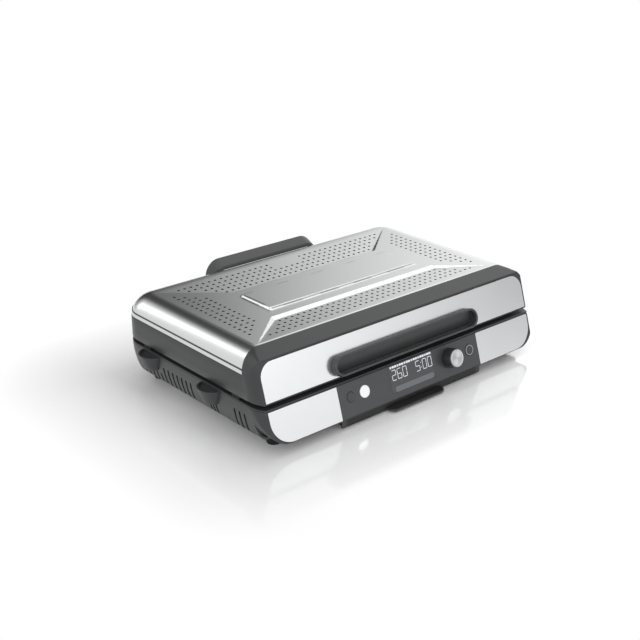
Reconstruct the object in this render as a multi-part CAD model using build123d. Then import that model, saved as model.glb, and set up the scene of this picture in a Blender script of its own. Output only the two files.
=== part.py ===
from build123d import *
import os
from math import asin, atan, cos, degrees, pi, radians, sin, sqrt

# Indoor electric grill: a low base with a leaning control front, a ribbed grill plate, a slide-out
# drip tray, and a hinged lid whose creased stainless skin is perforated round its edge.
# Millimetres. X runs to the user's right, Y from front to back, Z up from the table.
# The origin is on the table, under the middle of the whole grill.

# Outline seen from above
HALF_WIDTH = 231.0
FRONT_HALF_WIDTH = 224.7
CORNER_DEPTH = 20.3
SEAM_FRONT = 137.3
REAR_WALL = 148.0
REAR_CORNER_RADIUS = 36.0

# Heights above the table
BASE_BOTTOM = 12.8
BASE_HEIGHT = 42.8
SEAM_GAP = 4.7
LID_BAND = 29.5
ROOF_RISE = 25.2
ROOF_RUN = 29.5

# Front face: how far it leans back for each millimetre up, and the dark frames around it
LEAN = 0.32
BEZEL_DEPTH = 23.5
BEZEL_WALL = 4.0
BAND_SLOPE = 0.25
BASE_TUCK = 10.0
BASE_EDGE_RADIUS = 12.0
BASE_CORNER_RADIUS = 31.0

# Flats that stand for curves on small parts, so that the whole model stays light
ROUND_SIDE_COUNT = 10
KNOB_SIDE_COUNT = 20
SCREW_SIDE_COUNT = 6
CORNER_FLAT_COUNT = 4
ROOF_FLAT_COUNT = 5
WALL_FLAT_COUNT = 2

# Walls, sheets and clearances
HOUSING_WALL = 3.0
DECK_THICKNESS = 1.8
COVER_THICKNESS = 1.5
COVER_LEDGE = 8.0
LINER_THICKNESS = 0.8
SKIN_THICKNESS = 1.0
SEAT_GAP = 0.1
LOOSE_GAP = 0.3
SKIN_LINE = 0.6
RIB_INSET = 10.0
RIB_WALL = 2.0
TONGUE_THICKNESS = 2.2
TONGUE_HEIGHT = 7.0

# Creased skin: dished front and rear facets and a raised middle
FACET_SLOPE = 0.06
FACET_EDGE_INSET = 3.6
FACET_HALF_WIDTH = 198.1
FACET_BEVEL = 5.7
FRONT_FACET_DEPTH = 45.8
FRONT_FACET_INNER = 136.8
REAR_FACET_DEPTH = 55.9
REAR_FACET_INNER = 122.6
REAR_FACET_BACK = 114.3
PLATEAU_HALF_WIDTH = 123.5
PLATEAU_LENGTH = 56.1
PLATEAU_MIDDLE = 6.6
PLATEAU_RISE = 2.8

# Perforation: a square pitch in four bands round the edge
HOLE_PITCH = 9.5
HOLE_DIAMETER = 3.6
SIDE_BAND_X = 189.2
SIDE_BAND_Y = -65.1
SIDE_BAND_ROWS = 17
SIDE_BAND_COLUMNS = 4
FRONT_BAND_Y = -80.0
FRONT_BAND_COUNT = 37
FRONT_BAND_ROWS = 4
REAR_BAND_Y = 103.9
REAR_BAND_ROWS = 5
REAR_BAND_STEP_ROW = 2
REAR_BAND_NOTCH = 5

# Front panels, measured up the leaning face from the middle of the seam
PANEL_THICKNESS = 1.5
HOOD_PANEL_HALF_WIDTH = 222.3
HOOD_PANEL_BOTTOM = 4.7
HOOD_PANEL_HEIGHT = 46.0
HOOD_PANEL_RADIUS = 19.0
BASE_PANEL_EDGE = 222.6
BASE_PANEL_TOP = -5.2
BASE_PANEL_HEIGHT = 41.5
CONTROL_HALF_WIDTH = 120.2
CONTROL_THICKNESS = 2.0
CONTROL_LIP = 5.0
PANEL_SEAM = 0.4

# Controls on the panel: sideways from the middle, and down the face
CONTROL_DROP = 22.9
KNOB_X = 66.3
KNOB_DIAMETER = 25.7
KNOB_LENGTH = 13.0
KNOB_DRAFT = 3.0
KNOB_WALL = 2.0
KNOB_CAP_DIAMETER = 22.5
KNOB_CAP_THICKNESS = 1.2
SHAFT_DIAMETER = 6.0
START_FROM_POWER = 22.4
START_DIAMETER = 15.2
POWER_FROM_EDGE = 18.1
POWER_DIAMETER = 12.0
MODE_FROM_EDGE = 16.1
MODE_DIAMETER = 14.7
BUTTON_PROUD = 0.8
BUTTON_TRAVEL = 1.2
BUTTON_FLANGE = 1.5
BUTTON_LENGTH = 10.0
WINDOW_WIDTH = 76.0
WINDOW_HEIGHT = 32.0
WINDOW_X = 1.0
WINDOW_TOP = -7.4
BOARD_DEPTH = 15.0
BOARD_THICKNESS = 1.6
BOARD_INSET = 5.2
BOARD_HEIGHT = 26.0
SWITCH_SIZE = 6.0
BOARD_POST_INSET = 3.0
BOARD_POST_SPREAD = 9.0
BOARD_POST_RADIUS = 2.5

# Front handle: a low pocket pull through the hood panel
PULL_HALF_WIDTH = 122.5
PULL_HEIGHT = 25.4
PULL_BOTTOM = 4.9
PULL_PROUD = 9.0
PULL_RIM = 3.0
PULL_POCKET_BACK = 8.0
PULL_FLOOR = 2.0
PULL_FACE_LEAN = 17.0
CLAMP_X = 90.0
CLAMP_WIDTH = 18.0
CLAMP_OVERLAP = 4.0
CLAMP_THICKNESS = 2.0

# Rear handle: a broad strap bowed over the rear edge of the lid
STRAP_HALF_WIDTH = 93.0
STRAP_WIDTH = 18.3
STRAP_THICKNESS = 5.5
STRAP_TOP = 113.6
STRAP_FRONT = 139.0
STRAP_TILT = 25.0
STRAP_CORNER = 22.0
STRAP_CLEAR = 1.5
STRAP_FOOT = 78.0
STRAP_PAD_WIDTH = 16.0
STRAP_PAD_HEIGHT = 14.0
STRAP_SCREW_LENGTH = 5.0

# Hinges
HINGE_X = 140.0
HINGE_BEHIND = 8.0
HINGE_WIDTH = 30.0
BARREL_RADIUS = 5.5
PIN_RADIUS = 2.5
PIN_GAP = 0.05
EAR_THICKNESS = 5.0
LEAF_THICKNESS = 2.0
LEAF_LENGTH = 18.0

# Cooking parts
PLATE_MIDDLE = 14.0
OPENING_HALF_WIDTH = 188.0
OPENING_HALF_DEPTH = 113.0
OPENING_RADIUS = 22.0
PLATE_FLANGE = 7.0
PLATE_FLANGE_THICKNESS = 3.0
PLATE_PAN_GAP = 3.0
PLATE_DEPTH = 12.4
PLATE_FLOOR = 4.0
RIDGE_HEIGHT = 6.0
RIDGE_WIDTH = 5.0
RIDGE_TOP = 2.5
RIDGE_PITCH = 14.0
GUTTER = 24.0
DRAIN_DIAMETER = 14.0
CHUTE_WALL = 1.0
ELEMENT_DIAMETER = 6.5
ELEMENT_GAP = 0.5
ELEMENT_SPREAD = 55.0
ELEMENT_REACH = 140.0
ELEMENT_BEND = 20.0
ELEMENT_OUT = 12.0
SUPPORT_X = 110.0
PROBE_RADIUS = 2.5
POWER_BOARD_GAP = 6.0
POWER_BOARD_LENGTH = 80.0
RELAY_WIDTH = 10.0
RELAY_LENGTH = 24.0
RELAY_HEIGHT = 14.0
RELAY_SHIFT = 3.0
GLAND_RIM = 3.0
GLAND_PROUD = 6.0
COVER_SCREW_Y = 95.0
REFLECTOR_DEPTH = 29.0

# Splash baffle inside the lid
BAFFLE_HALF_WIDTH = 205.0
BAFFLE_HALF_DEPTH = 100.0
BAFFLE_ABOVE_BAND = 1.2
BAFFLE_POST_X = 142.0
BAFFLE_POST_Y = 28.0
BAFFLE_SLOT_LENGTH = 60.0
BAFFLE_SLOT_WIDTH = 3.8
POST_RADIUS = 4.0
PAD_Y = 90.0
PAD_LENGTH = 14.0
PAD_INSET = 0.4

# Drip tray and its runners under the base
TRAY_HALF_WIDTH = 116.0
TRAY_LENGTH = 190.0
TRAY_FRONT_BACKSET = 2.0
TRAY_WALL = 1.5
TRAY_BOTTOM = 2.2
TRAY_HEIGHT = 9.4
TRAY_FLANGE = 5.0
TRAY_PULL_HALF_WIDTH = 47.0
TRAY_PULL_REACH = 11.0
TRAY_PULL_RADIUS = 8.8
RUNNER_WALL = 2.0

# Feet, lugs, vents and rear inlet
FOOT_RADIUS = 10.0
FOOT_X = 198.0
FOOT_FRONT = -118.0
FOOT_BACK = 112.0
FOOT_FLARE = 1.5
LUG_RADIUS = 20.0
LUG_REACH = 15.0
LUG_TOP_DROP = 1.2
LUG_HEIGHT = 20.0
LUG_FOOT_RADIUS = 12.0
LUG_DISH = 2.0
LUG_FRONT_Y = -41.3
LUG_REAR_Y = 82.2
VENT_WIDTH = 3.2
VENT_TOP = 41.8
VENT_BOTTOM = 18.0
VENT_LUG_PITCH = 6.3
VENT_PITCH = 9.4
VENT_REAR_FIRST = 0.3
VENT_REAR_COUNT = 12
VENT_FRONT_FIRST = -105.0
VENT_FRONT_COUNT = 3
INLET_X = 178.0
INLET_Z = 34.0
INLET_RADIUS = 8.0
SCREW_RADIUS = 2.0
SCREW_HEAD_RADIUS = 3.5
SCREW_HEAD = 1.6

# Worked out from the values above
BASE_RIM = BASE_BOTTOM + BASE_HEIGHT
LID_EDGE = BASE_RIM + SEAM_GAP
SKIN_EDGE = LID_EDGE + LID_BAND
LID_TOP = SKIN_EDGE + ROOF_RISE
SEAM_MIDDLE = BASE_RIM + SEAM_GAP / 2
DECK_BOTTOM = BASE_RIM - DECK_THICKNESS
SLOPE_LENGTH = sqrt(1 + LEAN**2)
FAR = 200.0
SLACK = 20.0
FRONT = Plane(origin=(0, -SEAM_FRONT, SEAM_MIDDLE), x_dir=(1, 0, 0), z_dir=(0, -1, LEAN))


def front_y(height):
    """Where the leaning front face lies at a height above the table."""
    return -SEAM_FRONT + LEAN * (height - SEAM_MIDDLE)


SKIN_FRONT = front_y(LID_TOP) + BEZEL_DEPTH
HINGE_Y = REAR_WALL + HINGE_BEHIND
HINGE_Z = SEAM_MIDDLE
PLATE_BOTTOM = BASE_RIM + LINER_THICKNESS - PLATE_DEPTH
ELEMENT_Z = PLATE_BOTTOM - ELEMENT_GAP - ELEMENT_DIAMETER / 2
REFLECTOR_BOTTOM = BASE_RIM + LINER_THICKNESS - REFLECTOR_DEPTH
DRAIN_Y = PLATE_MIDDLE - OPENING_HALF_DEPTH + (PLATE_PAN_GAP + PLATE_FLOOR + GUTTER) / 2
BAFFLE_Z = SKIN_EDGE + BAFFLE_ABOVE_BAND
TRAY_TOP = TRAY_BOTTOM + TRAY_HEIGHT
TRAY_FRONT = front_y(BASE_BOTTOM) + TRAY_FRONT_BACKSET
PULL_MIDDLE = PULL_BOTTOM + PULL_HEIGHT / 2
HOOD_PANEL_MIDDLE = HOOD_PANEL_BOTTOM + HOOD_PANEL_HEIGHT / 2
BASE_PANEL_MIDDLE = BASE_PANEL_TOP - BASE_PANEL_HEIGHT / 2
WINDOW_MIDDLE = WINDOW_TOP - WINDOW_HEIGHT / 2
BEZEL_BACK = -BEZEL_WALL / SLOPE_LENGTH
FLOOR_TOP = BASE_BOTTOM + HOUSING_WALL
LUG_TOP = DECK_BOTTOM - LUG_TOP_DROP
CHUTE_OUTER = DRAIN_DIAMETER / 2 + 2 * CHUTE_WALL
KNOB_BASE = 2 * LOOSE_GAP
STRAP_SCREW_X = STRAP_HALF_WIDTH - STRAP_PAD_WIDTH / 2
POWER_X = -CONTROL_HALF_WIDTH + POWER_FROM_EDGE
START_X = POWER_X + START_FROM_POWER
MODE_X = CONTROL_HALF_WIDTH - MODE_FROM_EDGE
BOARD_HALF_WIDTH = CONTROL_HALF_WIDTH - BOARD_INSET
BOARD_POST_X = BOARD_HALF_WIDTH - BOARD_POST_INSET
BUTTONS = [(START_X, START_DIAMETER), (POWER_X, POWER_DIAMETER), (MODE_X, MODE_DIAMETER)]


def front_block(sketch, inner, outer, across=0.0, up=0.0):
    """A sketch on the leaning front face, drawn from one depth to another; outwards counts up."""
    return extrude(FRONT * Pos(across, up, inner) * sketch, amount=outer - inner)


def front_disc(radius, inner, outer, across=0.0, up=0.0):
    """A round piece standing square on the leaning front face, drawn with a few flats."""
    return front_block(RegularPolygon(radius, ROUND_SIDE_COUNT), inner, outer, across, up)


def cut_corners(width, length, radius):
    """A rectangle whose corners are rounded by three flats each."""
    outline = []
    for sign_x, sign_y, start in ((1, 1, 0), (-1, 1, 90), (-1, -1, 180), (1, -1, 270)):
        for step in range(4):
            angle = radians(start + 30 * step)
            x = sign_x * (width / 2 - radius) + radius * cos(angle)
            outline.append((x, sign_y * (length / 2 - radius) + radius * sin(angle)))
    return make_face(Polyline(*outline, close=True))


def upright(sketch, low, high, x=0.0, y=0.0):
    """A sketch seen from above, drawn from one height to another."""
    return extrude(Pos(x, y, low) * sketch, amount=high - low)


def block(x_range, y_range, z_range):
    """A plain block between three pairs of limits."""
    size = [high - low for low, high in (x_range, y_range, z_range)]
    middle = [(high + low) / 2 for low, high in (x_range, y_range, z_range)]
    return Pos(*middle) * Box(*size)


def both_sides(solid):
    """The solid and its mirror image on the other side of the grill, as one group."""
    return Compound([solid, mirror(solid, about=Plane.YZ)])


def polyhedron(corners, faces):
    """A solid with flat faces, from its corners and the corner numbers of each face."""
    sides = [Face(Wire.make_polygon([corners[i] for i in face], close=True)) for face in faces]
    return Solid(Shell(sides))


def flat_arc(x, y, radius, start, end, flats):
    """Points along an arc drawn by a few flats, angles in radians."""
    angles = [start + (end - start) * step / flats for step in range(flats + 1)]
    return [(x + radius * cos(angle), y + radius * sin(angle)) for angle in angles]


def frustum(sides, low_radius, high_radius, low, high, x=0.0, y=0.0):
    """An upright tapered piece with flat sides."""
    corners = []
    for radius, z in ((low_radius, low), (high_radius, high)):
        for number in range(sides):
            angle = 2 * pi * number / sides
            corners.append((x + radius * cos(angle), y + radius * sin(angle), z))
    faces = [list(range(sides)), list(range(sides, 2 * sides))]
    for number in range(sides):
        following = (number + 1) % sides
        faces.append([number, following, sides + following, sides + number])
    return polyhedron(corners, faces)


def plan_prism(low, high, inset):
    """Inside of the outline seen from above, shifted back with height to follow the front."""
    front = front_y(low)
    side = front + CORNER_DEPTH
    width = HALF_WIDTH - FRONT_HALF_WIDTH
    bulge = (width**2 + CORNER_DEPTH**2) / (2 * width)
    sweep_angle = asin(CORNER_DEPTH / bulge)
    corner = flat_arc(HALF_WIDTH - bulge, side, bulge, 0, -sweep_angle, CORNER_FLAT_COUNT)
    left = [(-x, y) for x, y in reversed(corner)]
    outline = make_face(Polyline((-HALF_WIDTH, 2 * FAR), (HALF_WIDTH, 2 * FAR), *corner, *left, close=True))
    if inset:
        outline = offset(outline, amount=-inset, kind=Kind.INTERSECTION)
    rise = high - low
    leaning = extrude(Pos(0, 0, low) * outline, amount=rise * SLOPE_LENGTH, dir=(0, LEAN, 1))
    depth = REAR_WALL + FAR + SLACK
    rear = Pos(0, REAR_WALL - depth / 2, 0) * RectangleRounded(2 * HALF_WIDTH, depth, REAR_CORNER_RADIUS)
    if inset:
        rear = offset(rear, amount=-inset)
    return leaning & upright(rear, low, high)


def lid_section(reach, start, end_top):
    """The lid cut across: an upright wall, then the roof curve up to the flat top."""
    floor = LID_EDGE - SLACK
    curve = (ROOF_RUN**2 + ROOF_RISE**2) / (2 * ROOF_RISE)
    turn = asin(ROOF_RUN / curve)
    flat = reach - ROOF_RUN
    roof = flat_arc(flat, LID_TOP - curve, curve, pi / 2 - turn, pi / 2, ROOF_FLAT_COUNT)
    return make_face(Polyline((start, floor), (reach, floor), *roof, *end_top, close=True))


def lid_envelope(low, inset):
    """Everything inside the lid's outer surface, from a height up, moved inwards by an inset."""
    half = lid_section(HALF_WIDTH, 0, [(0, LID_TOP)])
    front_view = half + mirror(half, about=Plane.YZ)
    band_end = LID_TOP - BAND_SLOPE * (FAR + SKIN_FRONT)
    side_view = lid_section(REAR_WALL, -FAR, [(SKIN_FRONT, LID_TOP), (-FAR, band_end)])
    turned = lid_section(REAR_CORNER_RADIUS, 0, [(0, LID_TOP)])
    if inset:
        front_view = offset(front_view, amount=-inset, kind=Kind.INTERSECTION)
        side_view = offset(side_view, amount=-inset, kind=Kind.INTERSECTION)
    across = extrude(Plane.XZ * front_view, amount=2 * FAR, both=True)
    along = extrude(Plane.YZ * side_view, amount=2 * FAR, both=True)
    body = plan_prism(low, LID_TOP + SLACK, inset) & across & along
    return turn_rear_corners(body, turned, low, LID_TOP + SLACK, inset)


def turned_quarter(section):
    """A section turned a quarter about the upright axis, drawn by a few flats."""
    profile = sorted((point.Y, point.X) for point in section.vertices() if point.X > PIN_RADIUS)
    corners = [(0, 0, profile[0][0]), (0, 0, profile[-1][0])]
    rings = []
    for height, radius in profile:
        rings.append(range(len(corners), len(corners) + CORNER_FLAT_COUNT + 1))
        ring = flat_arc(0, 0, radius, 0, pi / 2, CORNER_FLAT_COUNT)
        corners += [(x, y, height) for x, y in ring]
    faces = [[0, *rings[0]], [1, *rings[-1]]]
    faces += [[0, *[ring[end] for ring in rings], 1] for end in (0, -1)]
    for lower, upper in zip(rings, rings[1:]):
        for step in range(CORNER_FLAT_COUNT):
            faces.append([lower[step], lower[step + 1], upper[step + 1], upper[step]])
    return polyhedron(corners, faces)


def turn_rear_corners(body, half_section, low, high, inset):
    """Replace a body's two square rear corners by the half section turned about an upright axis."""
    section = half_section + mirror(half_section, about=Plane.YZ)
    if inset:
        section = offset(section, amount=-inset, kind=Kind.INTERSECTION)
    x = HALF_WIDTH - REAR_CORNER_RADIUS
    y = REAR_WALL - REAR_CORNER_RADIUS
    corner = block((x, 2 * FAR), (y, 2 * FAR), (low, high))
    rounded = Pos(x, y, 0) * turned_quarter(section) & corner
    body -= both_sides(corner)
    return body + both_sides(rounded)


def base_section(reach, start, corner, flats):
    """The base cut across: a wall that curves inwards as it goes down to a rounded edge."""
    low = BASE_BOTTOM
    curve = (BASE_HEIGHT**2 + BASE_TUCK**2) / (2 * BASE_TUCK)
    wall = []
    for step in range(WALL_FLAT_COUNT):
        down = BASE_HEIGHT * step / WALL_FLAT_COUNT
        wall.append((reach - curve + sqrt(curve**2 - down**2), BASE_RIM - down))
    last_x, last_z = wall[-1]
    tilt = atan((last_x - reach + BASE_TUCK) / (last_z - low))
    radius = min(corner, (last_z - low) / (1 - sin(tilt)))
    middle = reach - BASE_TUCK - radius * (1 - sin(tilt)) / cos(tilt)
    wall += flat_arc(middle, low + radius, radius, -tilt, -pi / 2, flats)
    top = BASE_RIM + SLACK
    return make_face(Polyline((start, low), (start, top), (reach, top), *wall, close=True))


def base_envelope(low, high, inset, corner=BASE_EDGE_RADIUS, flats=WALL_FLAT_COUNT):
    """Everything inside the base's outer surface between two heights."""
    half = base_section(HALF_WIDTH, 0, corner, flats)
    front_view = half + mirror(half, about=Plane.YZ)
    side_view = base_section(REAR_WALL, -FAR, BASE_EDGE_RADIUS, WALL_FLAT_COUNT)
    if inset:
        front_view = offset(front_view, amount=-inset, kind=Kind.INTERSECTION)
        side_view = offset(side_view, amount=-inset, kind=Kind.INTERSECTION)
    across = extrude(Plane.XZ * front_view, amount=2 * FAR, both=True)
    along = extrude(Plane.YZ * side_view, amount=2 * FAR, both=True)
    body = plan_prism(low, high, inset) & across & along
    turned = base_section(REAR_CORNER_RADIUS, 0, BASE_EDGE_RADIUS, WALL_FLAT_COUNT)
    return turn_rear_corners(body, turned, low, high, inset)


def bezel_space():
    """Everything in front of the plane where the dark front frames end."""
    depth = BEZEL_DEPTH / SLOPE_LENGTH
    return front_block(Rectangle(4 * FAR, 4 * FAR), -depth, FAR)


def dished_facet(outer_y, inner_y, inner_half_width, drop):
    """Wedge that sinks one facet of the skin below the flat, deepest at its inner edge."""
    depth = FACET_SLOPE * abs(inner_y - outer_y)
    bevel = FACET_BEVEL if inner_y > outer_y else -FACET_BEVEL
    top = LID_TOP - drop
    corners = []
    for side in (-1, 1):
        corners.append((side * FACET_HALF_WIDTH, outer_y, top))
        corners.append((side * inner_half_width, inner_y, top - depth))
        corners.append((side * inner_half_width, inner_y + bevel, top))
    faces = [(0, 3, 4, 1), (1, 4, 5, 2), (0, 2, 5, 3), (0, 1, 2), (3, 5, 4)]
    return polyhedron(corners, faces)


def roof_solid(low, inset):
    """The lid's roof from a height up, creased and raised, with all of it moved inwards by an inset."""
    solid = lid_envelope(low, inset) - bezel_space()
    front = SKIN_FRONT + FACET_EDGE_INSET
    solid -= dished_facet(front, front + FRONT_FACET_DEPTH, FRONT_FACET_INNER, inset)
    solid -= dished_facet(REAR_FACET_BACK, REAR_FACET_BACK - REAR_FACET_DEPTH, REAR_FACET_INNER, inset)
    foot_height = LID_TOP - ROOF_RISE / 2
    rise = LID_TOP + PLATEAU_RISE - inset - foot_height
    foot = Rectangle(2 * PLATEAU_HALF_WIDTH + 2 * rise, PLATEAU_LENGTH + 2 * rise)
    plateau = extrude(Pos(0, PLATEAU_MIDDLE, foot_height) * foot, amount=rise, taper=45)
    return solid + plateau


def hole_places():
    """Where the skin is pierced: two side bands, a front band and a rear band with a gap."""
    places = []
    for side in (-1, 1):
        for column in range(SIDE_BAND_COLUMNS):
            for row in range(column, SIDE_BAND_ROWS - column):
                places.append((side * (SIDE_BAND_X - column * HOLE_PITCH), SIDE_BAND_Y + row * HOLE_PITCH))
    first = (FRONT_BAND_COUNT - 1) / 2
    for row in range(FRONT_BAND_ROWS):
        shorter = row if row < 1 else row + 1
        for number in range(shorter, FRONT_BAND_COUNT - shorter):
            places.append(((number - first) * HOLE_PITCH, FRONT_BAND_Y + row * HOLE_PITCH))
    for row in range(REAR_BAND_ROWS):
        shorter = row if row < REAR_BAND_STEP_ROW else row + 1
        for number in range(shorter, FRONT_BAND_COUNT - shorter):
            in_notch = abs(number - first) <= REAR_BAND_NOTCH // 2 and row < REAR_BAND_STEP_ROW
            if not in_notch:
                places.append(((number - first) * HOLE_PITCH, REAR_BAND_Y - row * HOLE_PITCH))
    return places


def lid_skin():
    """Stainless skin of the lid: one creased, perforated stamping that seats over the frame.
    Each hole is drawn four-sided, with the area of the round one."""
    low = SKIN_EDGE + SKIN_LINE
    sheet = roof_solid(low, 0) - roof_solid(low - SLACK / 2, SKIN_THICKNESS)
    side = HOLE_DIAMETER * sqrt(pi) / 2
    hole = Rectangle(side, side, rotation=45)
    punches = [upright(hole, LID_TOP - ROOF_RISE / 2, LID_TOP + SLACK, x, y) for x, y in hole_places()]
    return sheet - punches


def lid_frame():
    """Dark side and rear wall of the lid, with a tongue that the skin slips over."""
    wall = lid_envelope(LID_EDGE, 0) - lid_envelope(LID_EDGE - SLACK / 2, HOUSING_WALL)
    wall &= upright(Rectangle(4 * FAR, 4 * FAR), LID_EDGE, SKIN_EDGE)
    seat = SKIN_THICKNESS + SEAT_GAP
    tongue = lid_envelope(SKIN_EDGE, seat) - lid_envelope(SKIN_EDGE - SLACK / 2, seat + TONGUE_THICKNESS)
    tongue &= upright(Rectangle(4 * FAR, 4 * FAR), SKIN_EDGE, SKIN_EDGE + TONGUE_HEIGHT)
    return wall + tongue - bezel_space() - strap_screw_holes()


def hood_panel_outline(margin):
    """Outline of the silver lid panel, square below and rounded above, grown by a margin."""
    top = HOOD_PANEL_HEIGHT / 2 + margin
    half_width = HOOD_PANEL_HALF_WIDTH + margin
    radius = HOOD_PANEL_RADIUS + margin
    corner = flat_arc(half_width - radius, top - radius, radius, 0, pi / 2, CORNER_FLAT_COUNT)
    left = [(-x, y) for x, y in reversed(corner)]
    return make_face(Polyline((-half_width, -top), (half_width, -top), *corner, *left, close=True))


def pull_outline(shrink):
    """Outline of the front handle, a bar with round ends, shrunk by a rim."""
    radius = PULL_HEIGHT / 2 - shrink
    reach = PULL_HALF_WIDTH - PULL_HEIGHT / 2
    right = flat_arc(reach, 0, radius, -pi / 2, pi / 2, 2 * CORNER_FLAT_COUNT)
    left = [(-x, -y) for x, y in right]
    return make_face(Polyline(*right, *left, close=True))


def lid_bezel():
    """Dark front frame of the lid: sloped top band, cheeks and a front wall with a panel recess."""
    shell = lid_envelope(LID_EDGE, 0) - lid_envelope(LID_EDGE - SLACK / 2, BEZEL_WALL)
    shell &= bezel_space()
    recess = front_block(hood_panel_outline(PANEL_SEAM), -PANEL_THICKNESS, SLACK, 0, HOOD_PANEL_MIDDLE)
    pocket = front_block(pull_outline(PULL_RIM - LOOSE_GAP), -SLACK, SLACK, 0, PULL_MIDDLE)
    return shell - recess - pocket


def lid_front_panel():
    """Silver panel set flush in the lid's front frame, with a cut-out for the handle."""
    panel = front_block(hood_panel_outline(0), -PANEL_THICKNESS, 0, 0, HOOD_PANEL_MIDDLE)
    return panel - front_block(pull_outline(PULL_RIM - LOOSE_GAP), -SLACK, SLACK, 0, PULL_MIDDLE)


def lid_handle():
    """Front handle: a round-ended rim that stands proud, with a finger pocket whose floor leans."""
    body = front_block(pull_outline(0), 0, PULL_PROUD, 0, PULL_MIDDLE)
    body += front_block(pull_outline(PULL_RIM), -PULL_POCKET_BACK, 0, 0, PULL_MIDDLE)
    pocket = front_block(pull_outline(PULL_RIM), -PULL_POCKET_BACK, 2 * PULL_PROUD, 0, PULL_MIDDLE)
    floor_top = PULL_BOTTOM + PULL_HEIGHT - PULL_RIM
    floor_place = FRONT * Pos(0, floor_top, PULL_FLOOR) * Rot(PULL_FACE_LEAN, 0, 0)
    pocket &= floor_place * Pos(0, 0, FAR / 2) * Box(2 * FAR, FAR, FAR)
    body -= pocket
    for side in (-1, 1):
        hole = RegularPolygon(SCREW_RADIUS + SEAT_GAP, SCREW_SIDE_COUNT)
        body -= front_block(hole, -SLACK, -PULL_POCKET_BACK / 2, side * CLAMP_X, PULL_MIDDLE)
    return body


def handle_clamps():
    """Two bridges behind the front wall that pull the handle tight against it."""
    height = PULL_HEIGHT - 2 * PULL_RIM + 2 * LOOSE_GAP + 2 * CLAMP_OVERLAP
    opening = height - 2 * CLAMP_OVERLAP
    bridge = front_block(Rectangle(CLAMP_WIDTH, height), -PULL_POCKET_BACK - CLAMP_THICKNESS, BEZEL_BACK)
    bridge -= front_block(Rectangle(2 * CLAMP_WIDTH, opening), -PULL_POCKET_BACK, SLACK)
    bridge -= front_block(RegularPolygon(SCREW_RADIUS + SEAT_GAP, SCREW_SIDE_COUNT), -FAR, FAR)
    slope = Vector(0, LEAN, 1).normalized()
    placed = Pos(CLAMP_X, 0, 0) * Pos(slope * PULL_MIDDLE) * bridge
    return both_sides(placed & block((0, FAR), (-FAR, 0), (LID_EDGE, LID_TOP)))


def front_screw(across, up, seat, length):
    """A pan-head screw driven outwards through a piece behind the leaning front."""
    head = front_block(RegularPolygon(SCREW_HEAD_RADIUS, SCREW_SIDE_COUNT), seat - SCREW_HEAD, seat, across, up)
    return head + front_block(RegularPolygon(SCREW_RADIUS, SCREW_SIDE_COUNT), seat, seat + length, across, up)


def clamp_screws():
    """One screw through each bridge into the back of the handle."""
    seat = -PULL_POCKET_BACK - CLAMP_THICKNESS
    length = CLAMP_THICKNESS + PULL_POCKET_BACK / 2 - LOOSE_GAP
    return both_sides(front_screw(CLAMP_X, PULL_MIDDLE, seat, length))


def strap_bow(inset):
    """Outline of the rear handle seen from behind, with its upper corners rounded by flats."""
    foot = STRAP_FOOT - STRAP_PAD_HEIGHT / 2
    reach = STRAP_HALF_WIDTH - STRAP_CORNER
    radius = STRAP_CORNER - inset
    corner = flat_arc(reach, STRAP_TOP - STRAP_CORNER, radius, 0, pi / 2, CORNER_FLAT_COUNT)
    left = [(-x, z) for x, z in reversed(corner)]
    foot -= inset
    return make_face(Polyline((-reach - radius, foot), (reach + radius, foot), *corner, *left, close=True))


def rear_handle():
    """Rear handle: a broad strap, tilted towards the user, bowed over the lid's rear edge."""
    outline = strap_bow(0) - strap_bow(STRAP_THICKNESS)
    bow = Plane(origin=(0, STRAP_FRONT, 0), x_dir=(1, 0, 0), z_dir=(0, -1, 0)) * outline
    tilt = radians(STRAP_TILT)
    strap = extrude(bow, amount=STRAP_WIDTH, dir=(0, cos(tilt), sin(tilt)))
    strap -= lid_envelope(LID_EDGE - SLACK, -STRAP_CLEAR)
    back = STRAP_FRONT + STRAP_WIDTH * cos(tilt)
    pad = block(
        (STRAP_HALF_WIDTH - STRAP_PAD_WIDTH, STRAP_HALF_WIDTH),
        (REAR_WALL, back),
        (STRAP_FOOT - STRAP_PAD_HEIGHT / 2, STRAP_FOOT + STRAP_PAD_HEIGHT / 2),
    )
    return strap + pad + mirror(pad, about=Plane.YZ) - strap_screw_holes()


def strap_screw_holes():
    """Holes through the lid's rear wall and into the feet of the rear handle."""
    end = REAR_WALL + STRAP_SCREW_LENGTH + LOOSE_GAP
    radius = SCREW_RADIUS + SEAT_GAP
    return both_sides(rod_along_y(radius, REAR_WALL / 2, end, STRAP_SCREW_X, STRAP_FOOT, SCREW_SIDE_COUNT))


def strap_screws():
    """One screw through the lid's rear wall into each foot of the rear handle."""
    start = REAR_WALL - HOUSING_WALL
    end = REAR_WALL + STRAP_SCREW_LENGTH
    place = (STRAP_SCREW_X, STRAP_FOOT, SCREW_SIDE_COUNT)
    head = rod_along_y(SCREW_HEAD_RADIUS, start - SCREW_HEAD, start, *place)
    return both_sides(head + rod_along_y(SCREW_RADIUS, start, end, *place))


def rod_along_y(radius, front, back, x, z, sides):
    """A rod that runs from front to back, with a number of flats."""
    section = Plane(origin=(x, front, z), x_dir=(1, 0, 0), z_dir=(0, 1, 0)) * RegularPolygon(radius, sides)
    return extrude(section, amount=back - front)


def rod_along_x(sketch, left, right):
    """A rod on the hinge axis with a given section."""
    place = Plane(origin=(left, HINGE_Y, HINGE_Z), x_dir=(0, 1, 0), z_dir=(1, 0, 0))
    return extrude(place * sketch, amount=right - left)


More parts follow.
